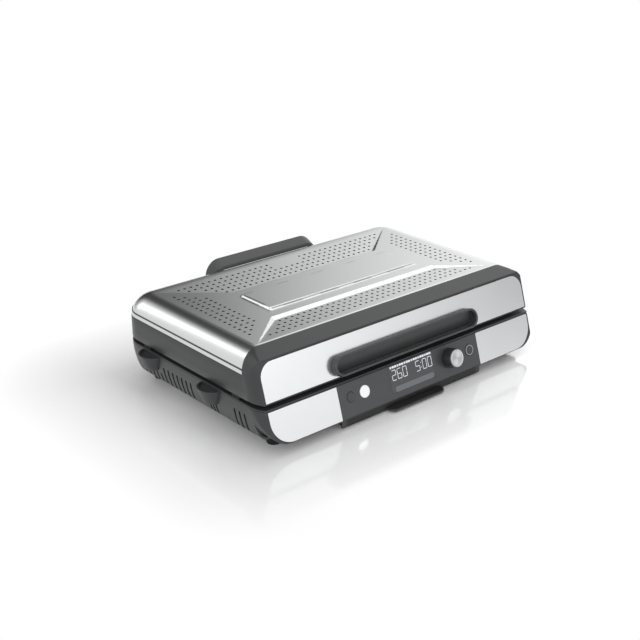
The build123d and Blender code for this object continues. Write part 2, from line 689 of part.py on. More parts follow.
def baffle_slots():
    """Long slots in the splash baffle, in columns that miss the pierced bands above."""
    slots = []
    for x in (-1.5 * BAFFLE_SLOT_LENGTH, 0, 1.5 * BAFFLE_SLOT_LENGTH):
        for row in (-1, 0, 1):
            y = PLATE_MIDDLE + row * BAFFLE_POST_Y * 2
            slot = Rectangle(BAFFLE_SLOT_LENGTH, BAFFLE_SLOT_WIDTH)
            slots.append(upright(slot, BAFFLE_Z - SLACK, BAFFLE_Z + SLACK, x, y))
    return slots


def splash_baffle():
    """Flat steel baffle that hangs under the pierced skin and drips back on to the plate."""
    outline = cut_corners(2 * BAFFLE_HALF_WIDTH, 2 * BAFFLE_HALF_DEPTH, OPENING_RADIUS)
    sheet = upright(outline, BAFFLE_Z, BAFFLE_Z + LINER_THICKNESS, 0, PLATE_MIDDLE)
    return sheet - baffle_slots()


def baffle_posts():
    """Four posts that carry the baffle from the flat of the skin."""
    posts = []
    for x in (-BAFFLE_POST_X, BAFFLE_POST_X):
        for y in (PLATEAU_MIDDLE - BAFFLE_POST_Y, PLATEAU_MIDDLE + BAFFLE_POST_Y):
            outline = RegularPolygon(POST_RADIUS, SCREW_SIDE_COUNT)
            posts.append(upright(outline, BAFFLE_Z + LINER_THICKNESS, LID_TOP - SKIN_THICKNESS, x, y))
    return Compound(posts)


def lid_pads():
    """Rubber pads under the lid's side walls that set the seam when the lid is shut."""
    pads = []
    for x in (-1, 1):
        for y in (-PAD_Y, PAD_Y):
            wall = (HALF_WIDTH - HOUSING_WALL, HALF_WIDTH - PAD_INSET)
            x_range = wall if x > 0 else (-wall[1], -wall[0])
            y_range = (y - PAD_LENGTH / 2, y + PAD_LENGTH / 2)
            pads.append(block(x_range, y_range, (BASE_RIM + LOOSE_GAP, LID_EDGE)))
    return Compound(pads)


def hinge_arm():
    """Lid half of a hinge: a leaf on the lid's rear wall and the middle knuckle."""
    half = HINGE_WIDTH / 2 - EAR_THICKNESS - LOOSE_GAP
    left = HINGE_X - half
    right = HINGE_X + half
    arm = rod_along_x(RegularPolygon(BARREL_RADIUS, ROUND_SIDE_COUNT), left, right)
    arm += block((left, right), (REAR_WALL, HINGE_Y), (LID_EDGE + LOOSE_GAP, HINGE_Z + BARREL_RADIUS))
    leaf_top = LID_EDGE + LOOSE_GAP + LEAF_LENGTH
    arm += block((left, right), (REAR_WALL, REAR_WALL + LEAF_THICKNESS), (LID_EDGE + LOOSE_GAP, leaf_top))
    return arm - rod_along_x(Circle(PIN_RADIUS + PIN_GAP), left - SLACK, right + SLACK)


def hinge_bracket():
    """Base half of a hinge: a leaf shaped to the base's rear wall and the two outer knuckles."""
    left = HINGE_X - HINGE_WIDTH / 2
    right = HINGE_X + HINGE_WIDTH / 2
    top = HINGE_Z - BARREL_RADIUS - LOOSE_GAP
    leaf = block((left, right), (REAR_WALL - BASE_TUCK, REAR_WALL + LEAF_THICKNESS), (top - LEAF_LENGTH, top))
    bracket = leaf
    for start in (left, right - EAR_THICKNESS):
        end = start + EAR_THICKNESS
        bracket += rod_along_x(RegularPolygon(BARREL_RADIUS, ROUND_SIDE_COUNT), start, end)
        bracket += block((start, end), (REAR_WALL + SEAT_GAP, HINGE_Y), (top - BARREL_RADIUS, HINGE_Z))
    bracket -= base_envelope(BASE_BOTTOM, BASE_RIM, 0)
    pin_hole = RegularPolygon(PIN_RADIUS + PIN_GAP, ROUND_SIDE_COUNT, major_radius=False)
    return bracket - rod_along_x(pin_hole, left - SLACK, right + SLACK)


def hinge_pins():
    """The two hinge pins, tight in the base's knuckles."""
    half = HINGE_WIDTH / 2
    return both_sides(rod_along_x(Circle(PIN_RADIUS), HINGE_X - half, HINGE_X + half))


def opening_outline(margin):
    """Outline of the cooking opening in the deck, grown by a margin."""
    width = 2 * OPENING_HALF_WIDTH + 2 * margin
    return cut_corners(width, 2 * OPENING_HALF_DEPTH + 2 * margin, OPENING_RADIUS + margin)


def deck():
    """Thin dark deck round the cooking opening, with a low rib that keeps spatter off the seam."""
    plate = base_envelope(DECK_BOTTOM, BASE_RIM, 0)
    rib_top = LID_EDGE - LOOSE_GAP
    for inset, sign in ((RIB_INSET, 1), (RIB_INSET + RIB_WALL, -1)):
        front = front_y(BASE_RIM) + inset
        back = REAR_WALL - inset
        outline = cut_corners(2 * (HALF_WIDTH - inset), back - front, REAR_CORNER_RADIUS - inset)
        solid = upright(outline, BASE_RIM, rib_top, 0, (front + back) / 2)
        plate = plate + solid if sign > 0 else plate - solid
    return plate - upright(opening_outline(0), DECK_BOTTOM - SLACK, BASE_RIM + SLACK, 0, PLATE_MIDDLE)


def cover_outline(margin):
    """Outline of the bottom cover, grown by a margin."""
    front = front_y(BASE_BOTTOM) + BEZEL_DEPTH + 2 * COVER_LEDGE
    back = REAR_WALL - BASE_TUCK - BASE_EDGE_RADIUS - COVER_LEDGE
    half_width = HALF_WIDTH - BASE_TUCK - BASE_EDGE_RADIUS - COVER_LEDGE
    outline = cut_corners(2 * half_width + 2 * margin, back - front + 2 * margin, OPENING_RADIUS + margin)
    return Pos(0, (front + back) / 2) * outline


def vent_places():
    """Where the side wall is slotted, from the front to the back."""
    front = [VENT_FRONT_FIRST + n * VENT_PITCH for n in range(VENT_FRONT_COUNT)]
    middle = [LUG_FRONT_Y + (n - 1) * VENT_LUG_PITCH for n in range(VENT_FRONT_COUNT)]
    rear = [VENT_REAR_FIRST + n * VENT_PITCH for n in range(VENT_REAR_COUNT)]
    return front + middle + rear


def vent_top(y):
    """Top of a vent slot, lower where a lug sits above it."""
    for lug in (LUG_FRONT_Y, LUG_REAR_Y):
        if abs(y - lug) < LUG_RADIUS + VENT_WIDTH:
            return LUG_TOP - LUG_HEIGHT - VENT_WIDTH / 2
    return VENT_TOP


def base_housing():
    """Moulded base: side and rear walls that tuck in towards the table, vents, and a floor ledge."""
    body = base_envelope(BASE_BOTTOM, DECK_BOTTOM, 0)
    body -= base_envelope(BASE_BOTTOM - SLACK / 2, DECK_BOTTOM + SLACK / 2, HOUSING_WALL)
    body -= bezel_space()
    body -= upright(cover_outline(SEAT_GAP), BASE_BOTTOM - SLACK, BASE_BOTTOM + COVER_THICKNESS)
    body -= upright(cover_outline(-COVER_LEDGE), BASE_BOTTOM - SLACK, DECK_BOTTOM)
    slots = []
    for y in vent_places():
        top = vent_top(y)
        y_range = (y - VENT_WIDTH / 2, y + VENT_WIDTH / 2)
        slots.append(block((-2 * HALF_WIDTH, 2 * HALF_WIDTH), y_range, (VENT_BOTTOM, top)))
    inner = block((-HALF_WIDTH + 2 * BASE_TUCK, HALF_WIDTH - 2 * BASE_TUCK), (-FAR, FAR), (0, LID_TOP))
    body -= [slot - inner for slot in slots]
    return body - rod_along_y(INLET_RADIUS, REAR_WALL / 2, FAR, INLET_X, INLET_Z, ROUND_SIDE_COUNT)


def bottom_cover():
    """Flat steel cover let into the floor of the base, with a hole for the grease chute."""
    sheet = upright(cover_outline(0), BASE_BOTTOM, BASE_BOTTOM + COVER_THICKNESS)
    return sheet - chute_hole()


def chute_hole():
    """Clearance for the grease chute through the sheets under the plate."""
    outline = RegularPolygon(CHUTE_OUTER + LOOSE_GAP, ROUND_SIDE_COUNT)
    return upright(outline, 0, PLATE_BOTTOM - SLACK / 2, 0, DRAIN_Y)


def cover_screws():
    """Six screws that hold the bottom cover to the floor ledge."""
    screws = []
    half_width = HALF_WIDTH - BASE_TUCK - BASE_EDGE_RADIUS - COVER_LEDGE * 3 / 2
    for x in (-half_width, half_width):
        for y in (-COVER_SCREW_Y, 0, COVER_SCREW_Y):
            outline = RegularPolygon(SCREW_HEAD_RADIUS, SCREW_SIDE_COUNT)
            head = upright(outline, BASE_BOTTOM - SCREW_HEAD, BASE_BOTTOM, x, y)
            screws.append(head)
    return Compound(screws)


def base_panel_outline(side, margin):
    """Outline of one silver panel beside the controls, rounded at its lower outer corner."""
    inner = CONTROL_HALF_WIDTH + PANEL_SEAM - margin
    outer = BASE_PANEL_EDGE + margin
    top = BASE_PANEL_MIDDLE + BASE_PANEL_HEIGHT / 2 + margin
    low = BASE_PANEL_MIDDLE - BASE_PANEL_HEIGHT / 2 - margin
    radius = BASE_CORNER_RADIUS - 5 * PANEL_SEAM + margin
    corner = flat_arc(outer - radius, low + radius, radius, -pi / 2, 0, CORNER_FLAT_COUNT)
    outline = make_face(Polyline((inner, top), (inner, low), *corner, (outer, top), close=True))
    return outline if side > 0 else mirror(outline, about=Plane.YZ)


def base_bezel():
    """Dark front frame of the base, with recesses for the panels and an opening for the controls."""
    low = BASE_BOTTOM - SLACK / 2
    shell = base_envelope(BASE_BOTTOM, DECK_BOTTOM, 0, BASE_CORNER_RADIUS, CORNER_FLAT_COUNT)
    shell -= base_envelope(low, DECK_BOTTOM + SLACK / 2, BEZEL_WALL, BASE_CORNER_RADIUS, CORNER_FLAT_COUNT)
    shell &= bezel_space()
    for side in (-1, 1):
        shell -= front_block(base_panel_outline(side, PANEL_SEAM), -PANEL_THICKNESS, SLACK)
    width = 2 * CONTROL_HALF_WIDTH + 2 * SEAT_GAP
    recess = Rectangle(width, BASE_PANEL_HEIGHT + 2 * SEAT_GAP)
    shell -= front_block(recess, -CONTROL_THICKNESS, SLACK, 0, BASE_PANEL_MIDDLE)
    opening = Rectangle(2 * CONTROL_HALF_WIDTH - 2 * CONTROL_LIP, BASE_PANEL_HEIGHT - 2 * CONTROL_LIP)
    return shell - front_block(opening, -2 * BEZEL_WALL, SLACK, 0, BASE_PANEL_MIDDLE)


def base_panel(side):
    """One silver panel beside the controls."""
    return front_block(base_panel_outline(side, 0), -PANEL_THICKNESS, 0)


def control_panel():
    """Dark control fascia with its window, knob and button holes, and posts for the board."""
    outline = Rectangle(2 * CONTROL_HALF_WIDTH, BASE_PANEL_HEIGHT)
    panel = front_block(outline, -CONTROL_THICKNESS, 0, 0, BASE_PANEL_MIDDLE)
    for x in (-BOARD_POST_X, BOARD_POST_X):
        for up in (-BOARD_POST_SPREAD, BOARD_POST_SPREAD):
            place = (x, up - CONTROL_DROP)
            post = RegularPolygon(BOARD_POST_RADIUS, SCREW_SIDE_COUNT)
            panel += front_block(post, -BOARD_DEPTH, -CONTROL_THICKNESS, *place)
    window = Rectangle(WINDOW_WIDTH + 2 * SEAT_GAP, WINDOW_HEIGHT + 2 * SEAT_GAP)
    panel -= front_block(window, -SLACK, SLACK, WINDOW_X, WINDOW_MIDDLE)
    for x, diameter in BUTTONS + [(KNOB_X, SHAFT_DIAMETER + 2 * CHUTE_WALL)]:
        panel -= front_disc(diameter / 2 + LOOSE_GAP, -SLACK, SLACK, x, -CONTROL_DROP)
    return panel


def display_lens():
    """Smoked window let flush into the control fascia."""
    outline = Rectangle(WINDOW_WIDTH, WINDOW_HEIGHT)
    return front_block(outline, -CONTROL_THICKNESS, 0, WINDOW_X, WINDOW_MIDDLE)


def display_module():
    """Lit display block between the window and the board."""
    outline = Rectangle(WINDOW_WIDTH - 2 * CONTROL_LIP, WINDOW_HEIGHT - 2 * CONTROL_LIP)
    return front_block(outline, -BOARD_DEPTH, -CONTROL_THICKNESS - SEAT_GAP, WINDOW_X, WINDOW_MIDDLE)


def control_board():
    """Circuit board on the fascia's posts."""
    outline = Rectangle(2 * BOARD_HALF_WIDTH, BOARD_HEIGHT)
    return front_block(outline, -BOARD_DEPTH - BOARD_THICKNESS, -BOARD_DEPTH, 0, -CONTROL_DROP)


def button_switches():
    """Three small push switches on the board, one behind each button."""
    top = -BUTTON_LENGTH + BUTTON_PROUD - BUTTON_TRAVEL - SEAT_GAP
    cases = []
    for x, diameter in BUTTONS:
        cases.append(front_block(Rectangle(SWITCH_SIZE, SWITCH_SIZE), -BOARD_DEPTH, top, x, -CONTROL_DROP))
    return Compound(cases)


def button(x, diameter):
    """A push button: a round cap, a flange that stops behind the fascia, and a stem."""
    stem_end = BUTTON_PROUD - BUTTON_LENGTH
    cap = front_disc(diameter / 2, -CONTROL_THICKNESS - SEAT_GAP, BUTTON_PROUD, x, -CONTROL_DROP)
    flange_back = -CONTROL_THICKNESS - SEAT_GAP - BUTTON_FLANGE
    flange = front_disc(diameter / 2 + 1, flange_back, -CONTROL_THICKNESS - SEAT_GAP, x, -CONTROL_DROP)
    stem = front_block(Rectangle(SWITCH_SIZE / 2, SWITCH_SIZE / 2), stem_end, flange_back, x, -CONTROL_DROP)
    return cap + flange + stem


def knob_encoder():
    """Rotary encoder on the board, with the bush that the knob's shaft turns in."""
    case = Rectangle(2 * SWITCH_SIZE, 2 * SWITCH_SIZE)
    body = front_block(case, -BOARD_DEPTH, -BOARD_DEPTH + SWITCH_SIZE, KNOB_X, -CONTROL_DROP)
    bush = SHAFT_DIAMETER / 2 + CHUTE_WALL
    body += front_disc(bush, -BOARD_DEPTH, -CONTROL_THICKNESS, KNOB_X, -CONTROL_DROP)
    bore = RegularPolygon(SHAFT_DIAMETER / 2 + PIN_GAP, ROUND_SIDE_COUNT, major_radius=False)
    return body - front_block(bore, -BOARD_DEPTH + BOARD_THICKNESS, SLACK, KNOB_X, -CONTROL_DROP)


def knob_shaft():
    """Round shaft that turns with the knob."""
    start = -BOARD_DEPTH + BOARD_THICKNESS + SEAT_GAP
    end = KNOB_BASE + KNOB_LENGTH / 2
    return front_block(Circle(SHAFT_DIAMETER / 2), start, end, KNOB_X, -CONTROL_DROP)


def knob():
    """Tapered knob skirt with a hollow back and a hub that grips the shaft."""
    radius = KNOB_DIAMETER / 2
    end = KNOB_BASE + KNOB_LENGTH
    place = FRONT * Pos(KNOB_X, -CONTROL_DROP, KNOB_BASE)
    skirt = extrude(place * RegularPolygon(radius, KNOB_SIDE_COUNT), amount=KNOB_LENGTH, taper=KNOB_DRAFT)
    hollow = RegularPolygon(radius - KNOB_WALL, ROUND_SIDE_COUNT)
    skirt -= front_block(hollow, 0, end - 2 * KNOB_WALL, KNOB_X, -CONTROL_DROP)
    hub = RegularPolygon(SHAFT_DIAMETER / 2 + KNOB_WALL, SCREW_SIDE_COUNT)
    skirt += front_block(hub, KNOB_BASE, end - KNOB_WALL, KNOB_X, -CONTROL_DROP)
    bore = RegularPolygon(SHAFT_DIAMETER / 2, ROUND_SIDE_COUNT, major_radius=False)
    return skirt - front_block(bore, 0, KNOB_BASE + KNOB_LENGTH / 2, KNOB_X, -CONTROL_DROP)


def knob_cap():
    """Spun metal disc on the end of the knob."""
    start = KNOB_BASE + KNOB_LENGTH
    outline = RegularPolygon(KNOB_CAP_DIAMETER / 2, KNOB_SIDE_COUNT)
    return front_block(outline, start, start + KNOB_CAP_THICKNESS, KNOB_X, -CONTROL_DROP)


def heat_reflector():
    """Pressed steel pan that hangs in the cooking opening under the heating element."""
    brim = BASE_RIM + LINER_THICKNESS
    gap = -SEAT_GAP
    pan = upright(opening_outline(PLATE_FLANGE), BASE_RIM, brim, 0, PLATE_MIDDLE)
    pan += upright(opening_outline(gap), REFLECTOR_BOTTOM, brim, 0, PLATE_MIDDLE)
    inner = opening_outline(gap - LINER_THICKNESS)
    pan -= upright(inner, REFLECTOR_BOTTOM + LINER_THICKNESS, brim + SLACK, 0, PLATE_MIDDLE)
    pan -= chute_hole()
    for y in element_ends():
        exit_size = ELEMENT_DIAMETER + LOOSE_GAP
        z_range = (ELEMENT_Z - exit_size / 2, ELEMENT_Z + exit_size / 2)
        pan -= block((-2 * FAR, -ELEMENT_REACH), (y - exit_size / 2, y + exit_size / 2), z_range)
    return pan


def element_ends():
    """Where the two ends of the heating element leave the reflector."""
    return (PLATE_MIDDLE - ELEMENT_SPREAD, PLATE_MIDDLE + ELEMENT_SPREAD)


def heating_element():
    """Sheathed heating element: one long bend under the plate, both ends out to the left."""
    low, high = element_ends()
    end = -OPENING_HALF_WIDTH - ELEMENT_OUT
    path = FilletPolyline(
        (end, low, ELEMENT_Z),
        (ELEMENT_REACH, low, ELEMENT_Z),
        (ELEMENT_REACH, high, ELEMENT_Z),
        (end, high, ELEMENT_Z),
        radius=ELEMENT_BEND,
    )
    place = Plane(origin=(end, low, ELEMENT_Z), z_dir=(1, 0, 0))
    return sweep(place * RegularPolygon(ELEMENT_DIAMETER / 2, SCREW_SIDE_COUNT), path=path)


def element_supports():
    """Folded steel rests that hold the element off the reflector."""
    rests = []
    top = ELEMENT_Z - ELEMENT_DIAMETER / 2
    for x in (-SUPPORT_X, SUPPORT_X):
        for y in element_ends():
            y_range = (y - SWITCH_SIZE, y + SWITCH_SIZE)
            x_range = (x - SWITCH_SIZE / 4, x + SWITCH_SIZE / 4)
            rests.append(block(x_range, y_range, (REFLECTOR_BOTTOM + LINER_THICKNESS, top)))
    return Compound(rests)


def grill_plate():
    """Cast grill plate: a shallow pan with a drafted rim, long ridges and a drained front gutter."""
    brim = BASE_RIM + LINER_THICKNESS
    top = brim + PLATE_FLANGE_THICKNESS
    plate = upright(opening_outline(PLATE_FLANGE), brim, top, 0, PLATE_MIDDLE)
    plate += upright(opening_outline(-PLATE_PAN_GAP), PLATE_BOTTOM, top, 0, PLATE_MIDDLE)
    floor = PLATE_BOTTOM + PLATE_FLOOR
    inner = opening_outline(-PLATE_PAN_GAP - PLATE_FLOOR)
    plate -= upright(inner, floor, LID_TOP, 0, PLATE_MIDDLE)
    half_width = OPENING_HALF_WIDTH - PLATE_PAN_GAP - PLATE_FLOOR - RIDGE_PITCH
    front = PLATE_MIDDLE - OPENING_HALF_DEPTH + GUTTER
    back = PLATE_MIDDLE + OPENING_HALF_DEPTH - PLATE_PAN_GAP - PLATE_FLOOR - RIDGE_PITCH
    count = int(2 * half_width / RIDGE_PITCH) + 1
    draft = degrees(atan((RIDGE_WIDTH - RIDGE_TOP) / 2 / RIDGE_HEIGHT))
    for number in range(count):
        x = (number - (count - 1) / 2) * RIDGE_PITCH
        foot = Pos(x, (front + back) / 2, floor) * Rectangle(RIDGE_WIDTH, back - front)
        plate += extrude(foot, amount=RIDGE_HEIGHT, taper=draft)
    return plate - upright(RegularPolygon(DRAIN_DIAMETER / 2, ROUND_SIDE_COUNT), 0, LID_EDGE, 0, DRAIN_Y)


def grease_chute():
    """Short flanged tube that leads grease from the plate's drain down to the tray."""
    low = BASE_BOTTOM - LOOSE_GAP
    high = PLATE_BOTTOM - LOOSE_GAP
    tube = upright(RegularPolygon(CHUTE_OUTER, ROUND_SIDE_COUNT), low, high, 0, DRAIN_Y)
    seat = REFLECTOR_BOTTOM + LINER_THICKNESS
    flange = RegularPolygon(CHUTE_OUTER + COVER_LEDGE / 2, ROUND_SIDE_COUNT)
    tube += upright(flange, seat, seat + CHUTE_WALL, 0, DRAIN_Y)
    return tube - upright(RegularPolygon(CHUTE_OUTER - CHUTE_WALL, ROUND_SIDE_COUNT), 0, LID_EDGE, 0, DRAIN_Y)


def temperature_probe():
    """Probe that stands on the reflector and touches the underside of the plate."""
    seat = REFLECTOR_BOTTOM + LINER_THICKNESS
    probe = upright(RegularPolygon(PROBE_RADIUS, SCREW_SIDE_COUNT), seat, PLATE_BOTTOM, 0, PLATE_MIDDLE)
    base = RegularPolygon(2 * PROBE_RADIUS, SCREW_SIDE_COUNT)
    return probe + upright(base, seat, seat + 2 * CHUTE_WALL, 0, PLATE_MIDDLE)


def thermal_fuse():
    """Thermal cut-out clipped under the reflector."""
    z = REFLECTOR_BOTTOM - PROBE_RADIUS
    place = Plane(origin=(SUPPORT_X / 2, PLATE_MIDDLE, z), x_dir=(0, 1, 0), z_dir=(1, 0, 0))
    return extrude(place * Rectangle(2 * PROBE_RADIUS, 2 * PROBE_RADIUS), amount=4 * PROBE_RADIUS)


def power_board():
    """Relay board on the floor of the base, beside the reflector."""
    x_range = (OPENING_HALF_WIDTH + POWER_BOARD_GAP, HALF_WIDTH - HOUSING_WALL - BASE_TUCK)
    y_range = (PLATE_MIDDLE - POWER_BOARD_LENGTH / 2, PLATE_MIDDLE + POWER_BOARD_LENGTH / 2)
    low = FLOOR_TOP + COVER_LEDGE / 2
    board = block(x_range, y_range, (low, low + BOARD_THICKNESS))
    middle = (x_range[0] + x_range[1]) / 2
    for y in (y_range[0] + COVER_LEDGE, y_range[1] - COVER_LEDGE):
        foot = RegularPolygon(SCREW_HEAD_RADIUS, SCREW_SIDE_COUNT)
        board += upright(foot, FLOOR_TOP, low, x_range[1] - COVER_LEDGE, y)
    relay_x = (middle - RELAY_SHIFT - RELAY_WIDTH / 2, middle - RELAY_SHIFT + RELAY_WIDTH / 2)
    relay_y = (PLATE_MIDDLE - RELAY_LENGTH / 2, PLATE_MIDDLE + RELAY_LENGTH / 2)
    relay = block(relay_x, relay_y, (low, low + RELAY_HEIGHT))
    return board + relay


def cord_gland():
    """Cable gland in the rear wall of the base."""
    radius = INLET_RADIUS + GLAND_RIM
    end = REAR_WALL + GLAND_PROUD
    collar = rod_along_y(radius, REAR_WALL - BASE_TUCK, end, INLET_X, INLET_Z, ROUND_SIDE_COUNT)
    collar -= base_envelope(BASE_BOTTOM, BASE_RIM, 0)
    inner = REAR_WALL - BASE_TUCK - HOUSING_WALL
    sleeve = rod_along_y(INLET_RADIUS - SEAT_GAP, inner, end, INLET_X, INLET_Z, ROUND_SIDE_COUNT)
    bore = rod_along_y(INLET_RADIUS / 2, inner - SLACK, FAR, INLET_X, INLET_Z, ROUND_SIDE_COUNT)
    return collar + sleeve - bore


def foot(x, y):
    """Round rubber foot, a little wider at the top."""
    return frustum(ROUND_SIDE_COUNT, FOOT_RADIUS - FOOT_FLARE, FOOT_RADIUS, 0, BASE_BOTTOM, x, y)


def lift_lug(side, y):
    """Half-round lug under the rim that fingers lift by: dished on top, drawn in below."""
    x = HALF_WIDTH + LUG_REACH - LUG_RADIUS
    low = LUG_TOP - LUG_HEIGHT
    lug = frustum(KNOB_SIDE_COUNT, LUG_FOOT_RADIUS, LUG_RADIUS, low, LUG_TOP, x, y)
    dish = RegularPolygon(LUG_RADIUS - HOUSING_WALL, KNOB_SIDE_COUNT)
    lug -= upright(dish, LUG_TOP - LUG_DISH, LUG_TOP + LUG_DISH, x, y)
    lug -= base_envelope(BASE_BOTTOM, BASE_RIM, 0)
    return lug if side > 0 else mirror(lug, about=Plane.YZ)


def drip_tray():
    """Shallow drip tray with side flanges that ride on the runners, a front and a pull lip."""
    back = TRAY_FRONT + TRAY_LENGTH
    wall = (-TRAY_HALF_WIDTH, TRAY_HALF_WIDTH)
    tray = block(wall, (TRAY_FRONT, back), (TRAY_BOTTOM, TRAY_TOP))
    flange = TRAY_HALF_WIDTH + TRAY_FLANGE
    tray += block((-flange, flange), (TRAY_FRONT, back), (TRAY_TOP - TRAY_WALL, TRAY_TOP))
    hollow = (-TRAY_HALF_WIDTH + TRAY_WALL, TRAY_HALF_WIDTH - TRAY_WALL)
    depth = (TRAY_FRONT + 2 * TRAY_WALL, back - TRAY_WALL)
    tray -= block(hollow, depth, (TRAY_BOTTOM + TRAY_WALL, TRAY_TOP + SLACK))
    front_edge = CONTROL_HALF_WIDTH
    tray += block((-front_edge, front_edge), (TRAY_FRONT, TRAY_FRONT + 2 * TRAY_WALL), (TRAY_BOTTOM, TRAY_TOP))
    lip = Rectangle(2 * TRAY_PULL_HALF_WIDTH, TRAY_PULL_REACH)
    lip = fillet(lip.vertices().group_by(Axis.Y)[0], TRAY_PULL_RADIUS)
    return tray + upright(lip, TRAY_BOTTOM, TRAY_BOTTOM + 2 * TRAY_WALL, 0, TRAY_FRONT - TRAY_PULL_REACH / 2)


def tray_runner():
    """Angle under the floor of the base, whose ledge carries one flange of the tray."""
    inner = TRAY_HALF_WIDTH + LOOSE_GAP
    outer = TRAY_HALF_WIDTH + TRAY_FLANGE + LOOSE_GAP + RUNNER_WALL
    ledge_top = TRAY_TOP - TRAY_WALL - SEAT_GAP
    profile = Polyline(
        (inner, ledge_top),
        (outer - RUNNER_WALL, ledge_top),
        (outer - RUNNER_WALL, BASE_BOTTOM),
        (outer, BASE_BOTTOM),
        (outer, ledge_top - RUNNER_WALL),
        (inner, ledge_top - RUNNER_WALL),
        close=True,
    )
    start = TRAY_FRONT + 2 * TRAY_WALL + LOOSE_GAP
    section = Plane(origin=(0, start, 0), x_dir=(1, 0, 0), z_dir=(0, -1, 0)) * make_face(profile)
    return extrude(section, amount=-TRAY_LENGTH)


def build_all():
    """Every piece of the grill, by name."""
    pieces = {
        "lid_skin": lid_skin(),
        "lid_frame": lid_frame(),
        "lid_bezel": lid_bezel(),
        "lid_front_panel": lid_front_panel(),
        "lid_handle": lid_handle(),
        "handle_clamps": handle_clamps(),
        "clamp_screws": clamp_screws(),
        "rear_handle": rear_handle(),
        "strap_screws": strap_screws(),
        "splash_baffle": splash_baffle(),
        "baffle_posts": baffle_posts(),
        "lid_pads": lid_pads(),
        "hinge_pins": hinge_pins(),
        "deck": deck(),
        "base_housing": base_housing(),
        "bottom_cover": bottom_cover(),
        "cover_screws": cover_screws(),
        "base_bezel": base_bezel(),
        "base_panel_left": base_panel(-1),
        "base_panel_right": base_panel(1),
        "control_panel": control_panel(),
        "display_lens": display_lens(),
        "display_module": display_module(),
        "control_board": control_board(),
        "button_switches": button_switches(),
        "knob_encoder": knob_encoder(),
        "start_button": button(START_X, START_DIAMETER),
        "power_button": button(POWER_X, POWER_DIAMETER),
        "mode_button": button(MODE_X, MODE_DIAMETER),
        "knob": knob(),
        "knob_cap": knob_cap(),
        "knob_shaft": knob_shaft(),
        "grill_plate": grill_plate(),
        "heat_reflector": heat_reflector(),
        "heating_element": heating_element(),
        "element_supports": element_supports(),
        "grease_chute": grease_chute(),
        "temperature_probe": temperature_probe(),
        "thermal_fuse": thermal_fuse(),
        "power_board": power_board(),
        "cord_gland": cord_gland(),
        "drip_tray": drip_tray(),
        "tray_runner_right": tray_runner(),
        "tray_runner_left": mirror(tray_runner(), about=Plane.YZ),
    }
    for side, name in ((-1, "left"), (1, "right")):
        arm = hinge_arm()
        bracket = hinge_bracket()
        pieces[f"hinge_arm_{name}"] = arm if side > 0 else mirror(arm, about=Plane.YZ)
        pieces[f"hinge_bracket_{name}"] = bracket if side > 0 else mirror(bracket, about=Plane.YZ)
        for end, y in (("front", FOOT_FRONT), ("rear", FOOT_BACK)):
            pieces[f"foot_{end}_{name}"] = foot(side * FOOT_X, y)
        for end, y in (("front", LUG_FRONT_Y), ("rear", LUG_REAR_Y)):
            pieces[f"lift_lug_{end}_{name}"] = lift_lug(side, y)
    return pieces


os.makedirs("parts", exist_ok=True)
for node, solid in build_all().items():
    export_step(solid, f"parts/{node}.step")
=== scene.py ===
import math

import bmesh
import bpy
from mathutils import Matrix, Vector
from mathutils.geometry import delaunay_2d_cdt

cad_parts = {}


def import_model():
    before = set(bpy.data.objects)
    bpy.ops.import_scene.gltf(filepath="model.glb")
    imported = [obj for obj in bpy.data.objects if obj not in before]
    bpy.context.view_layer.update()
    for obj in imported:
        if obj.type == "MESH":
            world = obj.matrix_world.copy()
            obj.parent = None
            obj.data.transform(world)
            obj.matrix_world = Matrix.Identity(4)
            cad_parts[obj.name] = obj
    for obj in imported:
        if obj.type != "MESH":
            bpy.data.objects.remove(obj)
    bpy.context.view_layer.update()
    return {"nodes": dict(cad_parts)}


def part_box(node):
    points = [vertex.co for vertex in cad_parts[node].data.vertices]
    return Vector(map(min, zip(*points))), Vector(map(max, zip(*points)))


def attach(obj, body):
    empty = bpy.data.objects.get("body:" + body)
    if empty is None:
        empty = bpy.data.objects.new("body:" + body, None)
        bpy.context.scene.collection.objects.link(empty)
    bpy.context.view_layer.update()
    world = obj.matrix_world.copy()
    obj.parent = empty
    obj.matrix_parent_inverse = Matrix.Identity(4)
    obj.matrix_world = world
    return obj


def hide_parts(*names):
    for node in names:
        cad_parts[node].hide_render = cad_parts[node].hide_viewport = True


# Looks of an indoor electric grill. Blender works in metres; every size below is in millimetres on the real
# object, with X to the right, Y to the back and Z up, and is turned by MM.
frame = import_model()

MM = 0.001
scene = bpy.context.scene
collection = scene.collection

# ---------------------------------------------------------------- sizes shared with the construction
CORNER_X, CORNER_Y, CORNER_RADIUS = 195.0, 112.0, 36.0     # rounded rear corners of the body
HALF_WIDTH = CORNER_X + CORNER_RADIUS
REAR_WALL = CORNER_Y + CORNER_RADIUS
SEAM_FRONT, SEAM_MIDDLE = 137.3, 57.95                     # where the leaning face meets the seam
LEAN, LEAN_SINE, LEAN_COSINE = 0.32, 0.304776, 0.952424
FACE_UP = Vector((0.0, LEAN_SINE, LEAN_COSINE))
FACE_OUT = Vector((0.0, -LEAN_COSINE, LEAN_SINE))
FRONT_BULGE, CORNER_DEPTH = 35.86, 20.3                    # rounded sides of the front frames, from above
BEZEL_DEPTH = 23.5                                         # how far the front frames wrap back
WALL_START = -100.0                                        # front end of the side walls
BASE_BOTTOM, DECK_BOTTOM, BASE_RIM = 12.8, 53.8, 55.6
BASE_ROUND, BASE_WALL = 12.0, 3.0                          # lower edge and sheet of the base's wall
LID_EDGE, SKIN_EDGE, LID_TOP = 60.3, 89.8, 115.0
ROOF_CORNER = 6.5                                          # corner of the roof's flat, inside the shoulder
ROOF_SIDE, ROOF_BACK, SKIN_FRONT = CORNER_X + ROOF_CORNER, CORNER_Y + ROOF_CORNER, -95.5
ROOF_RADIUS, ROOF_MIDDLE = 29.867, 85.133                  # rolled shoulder of the lid
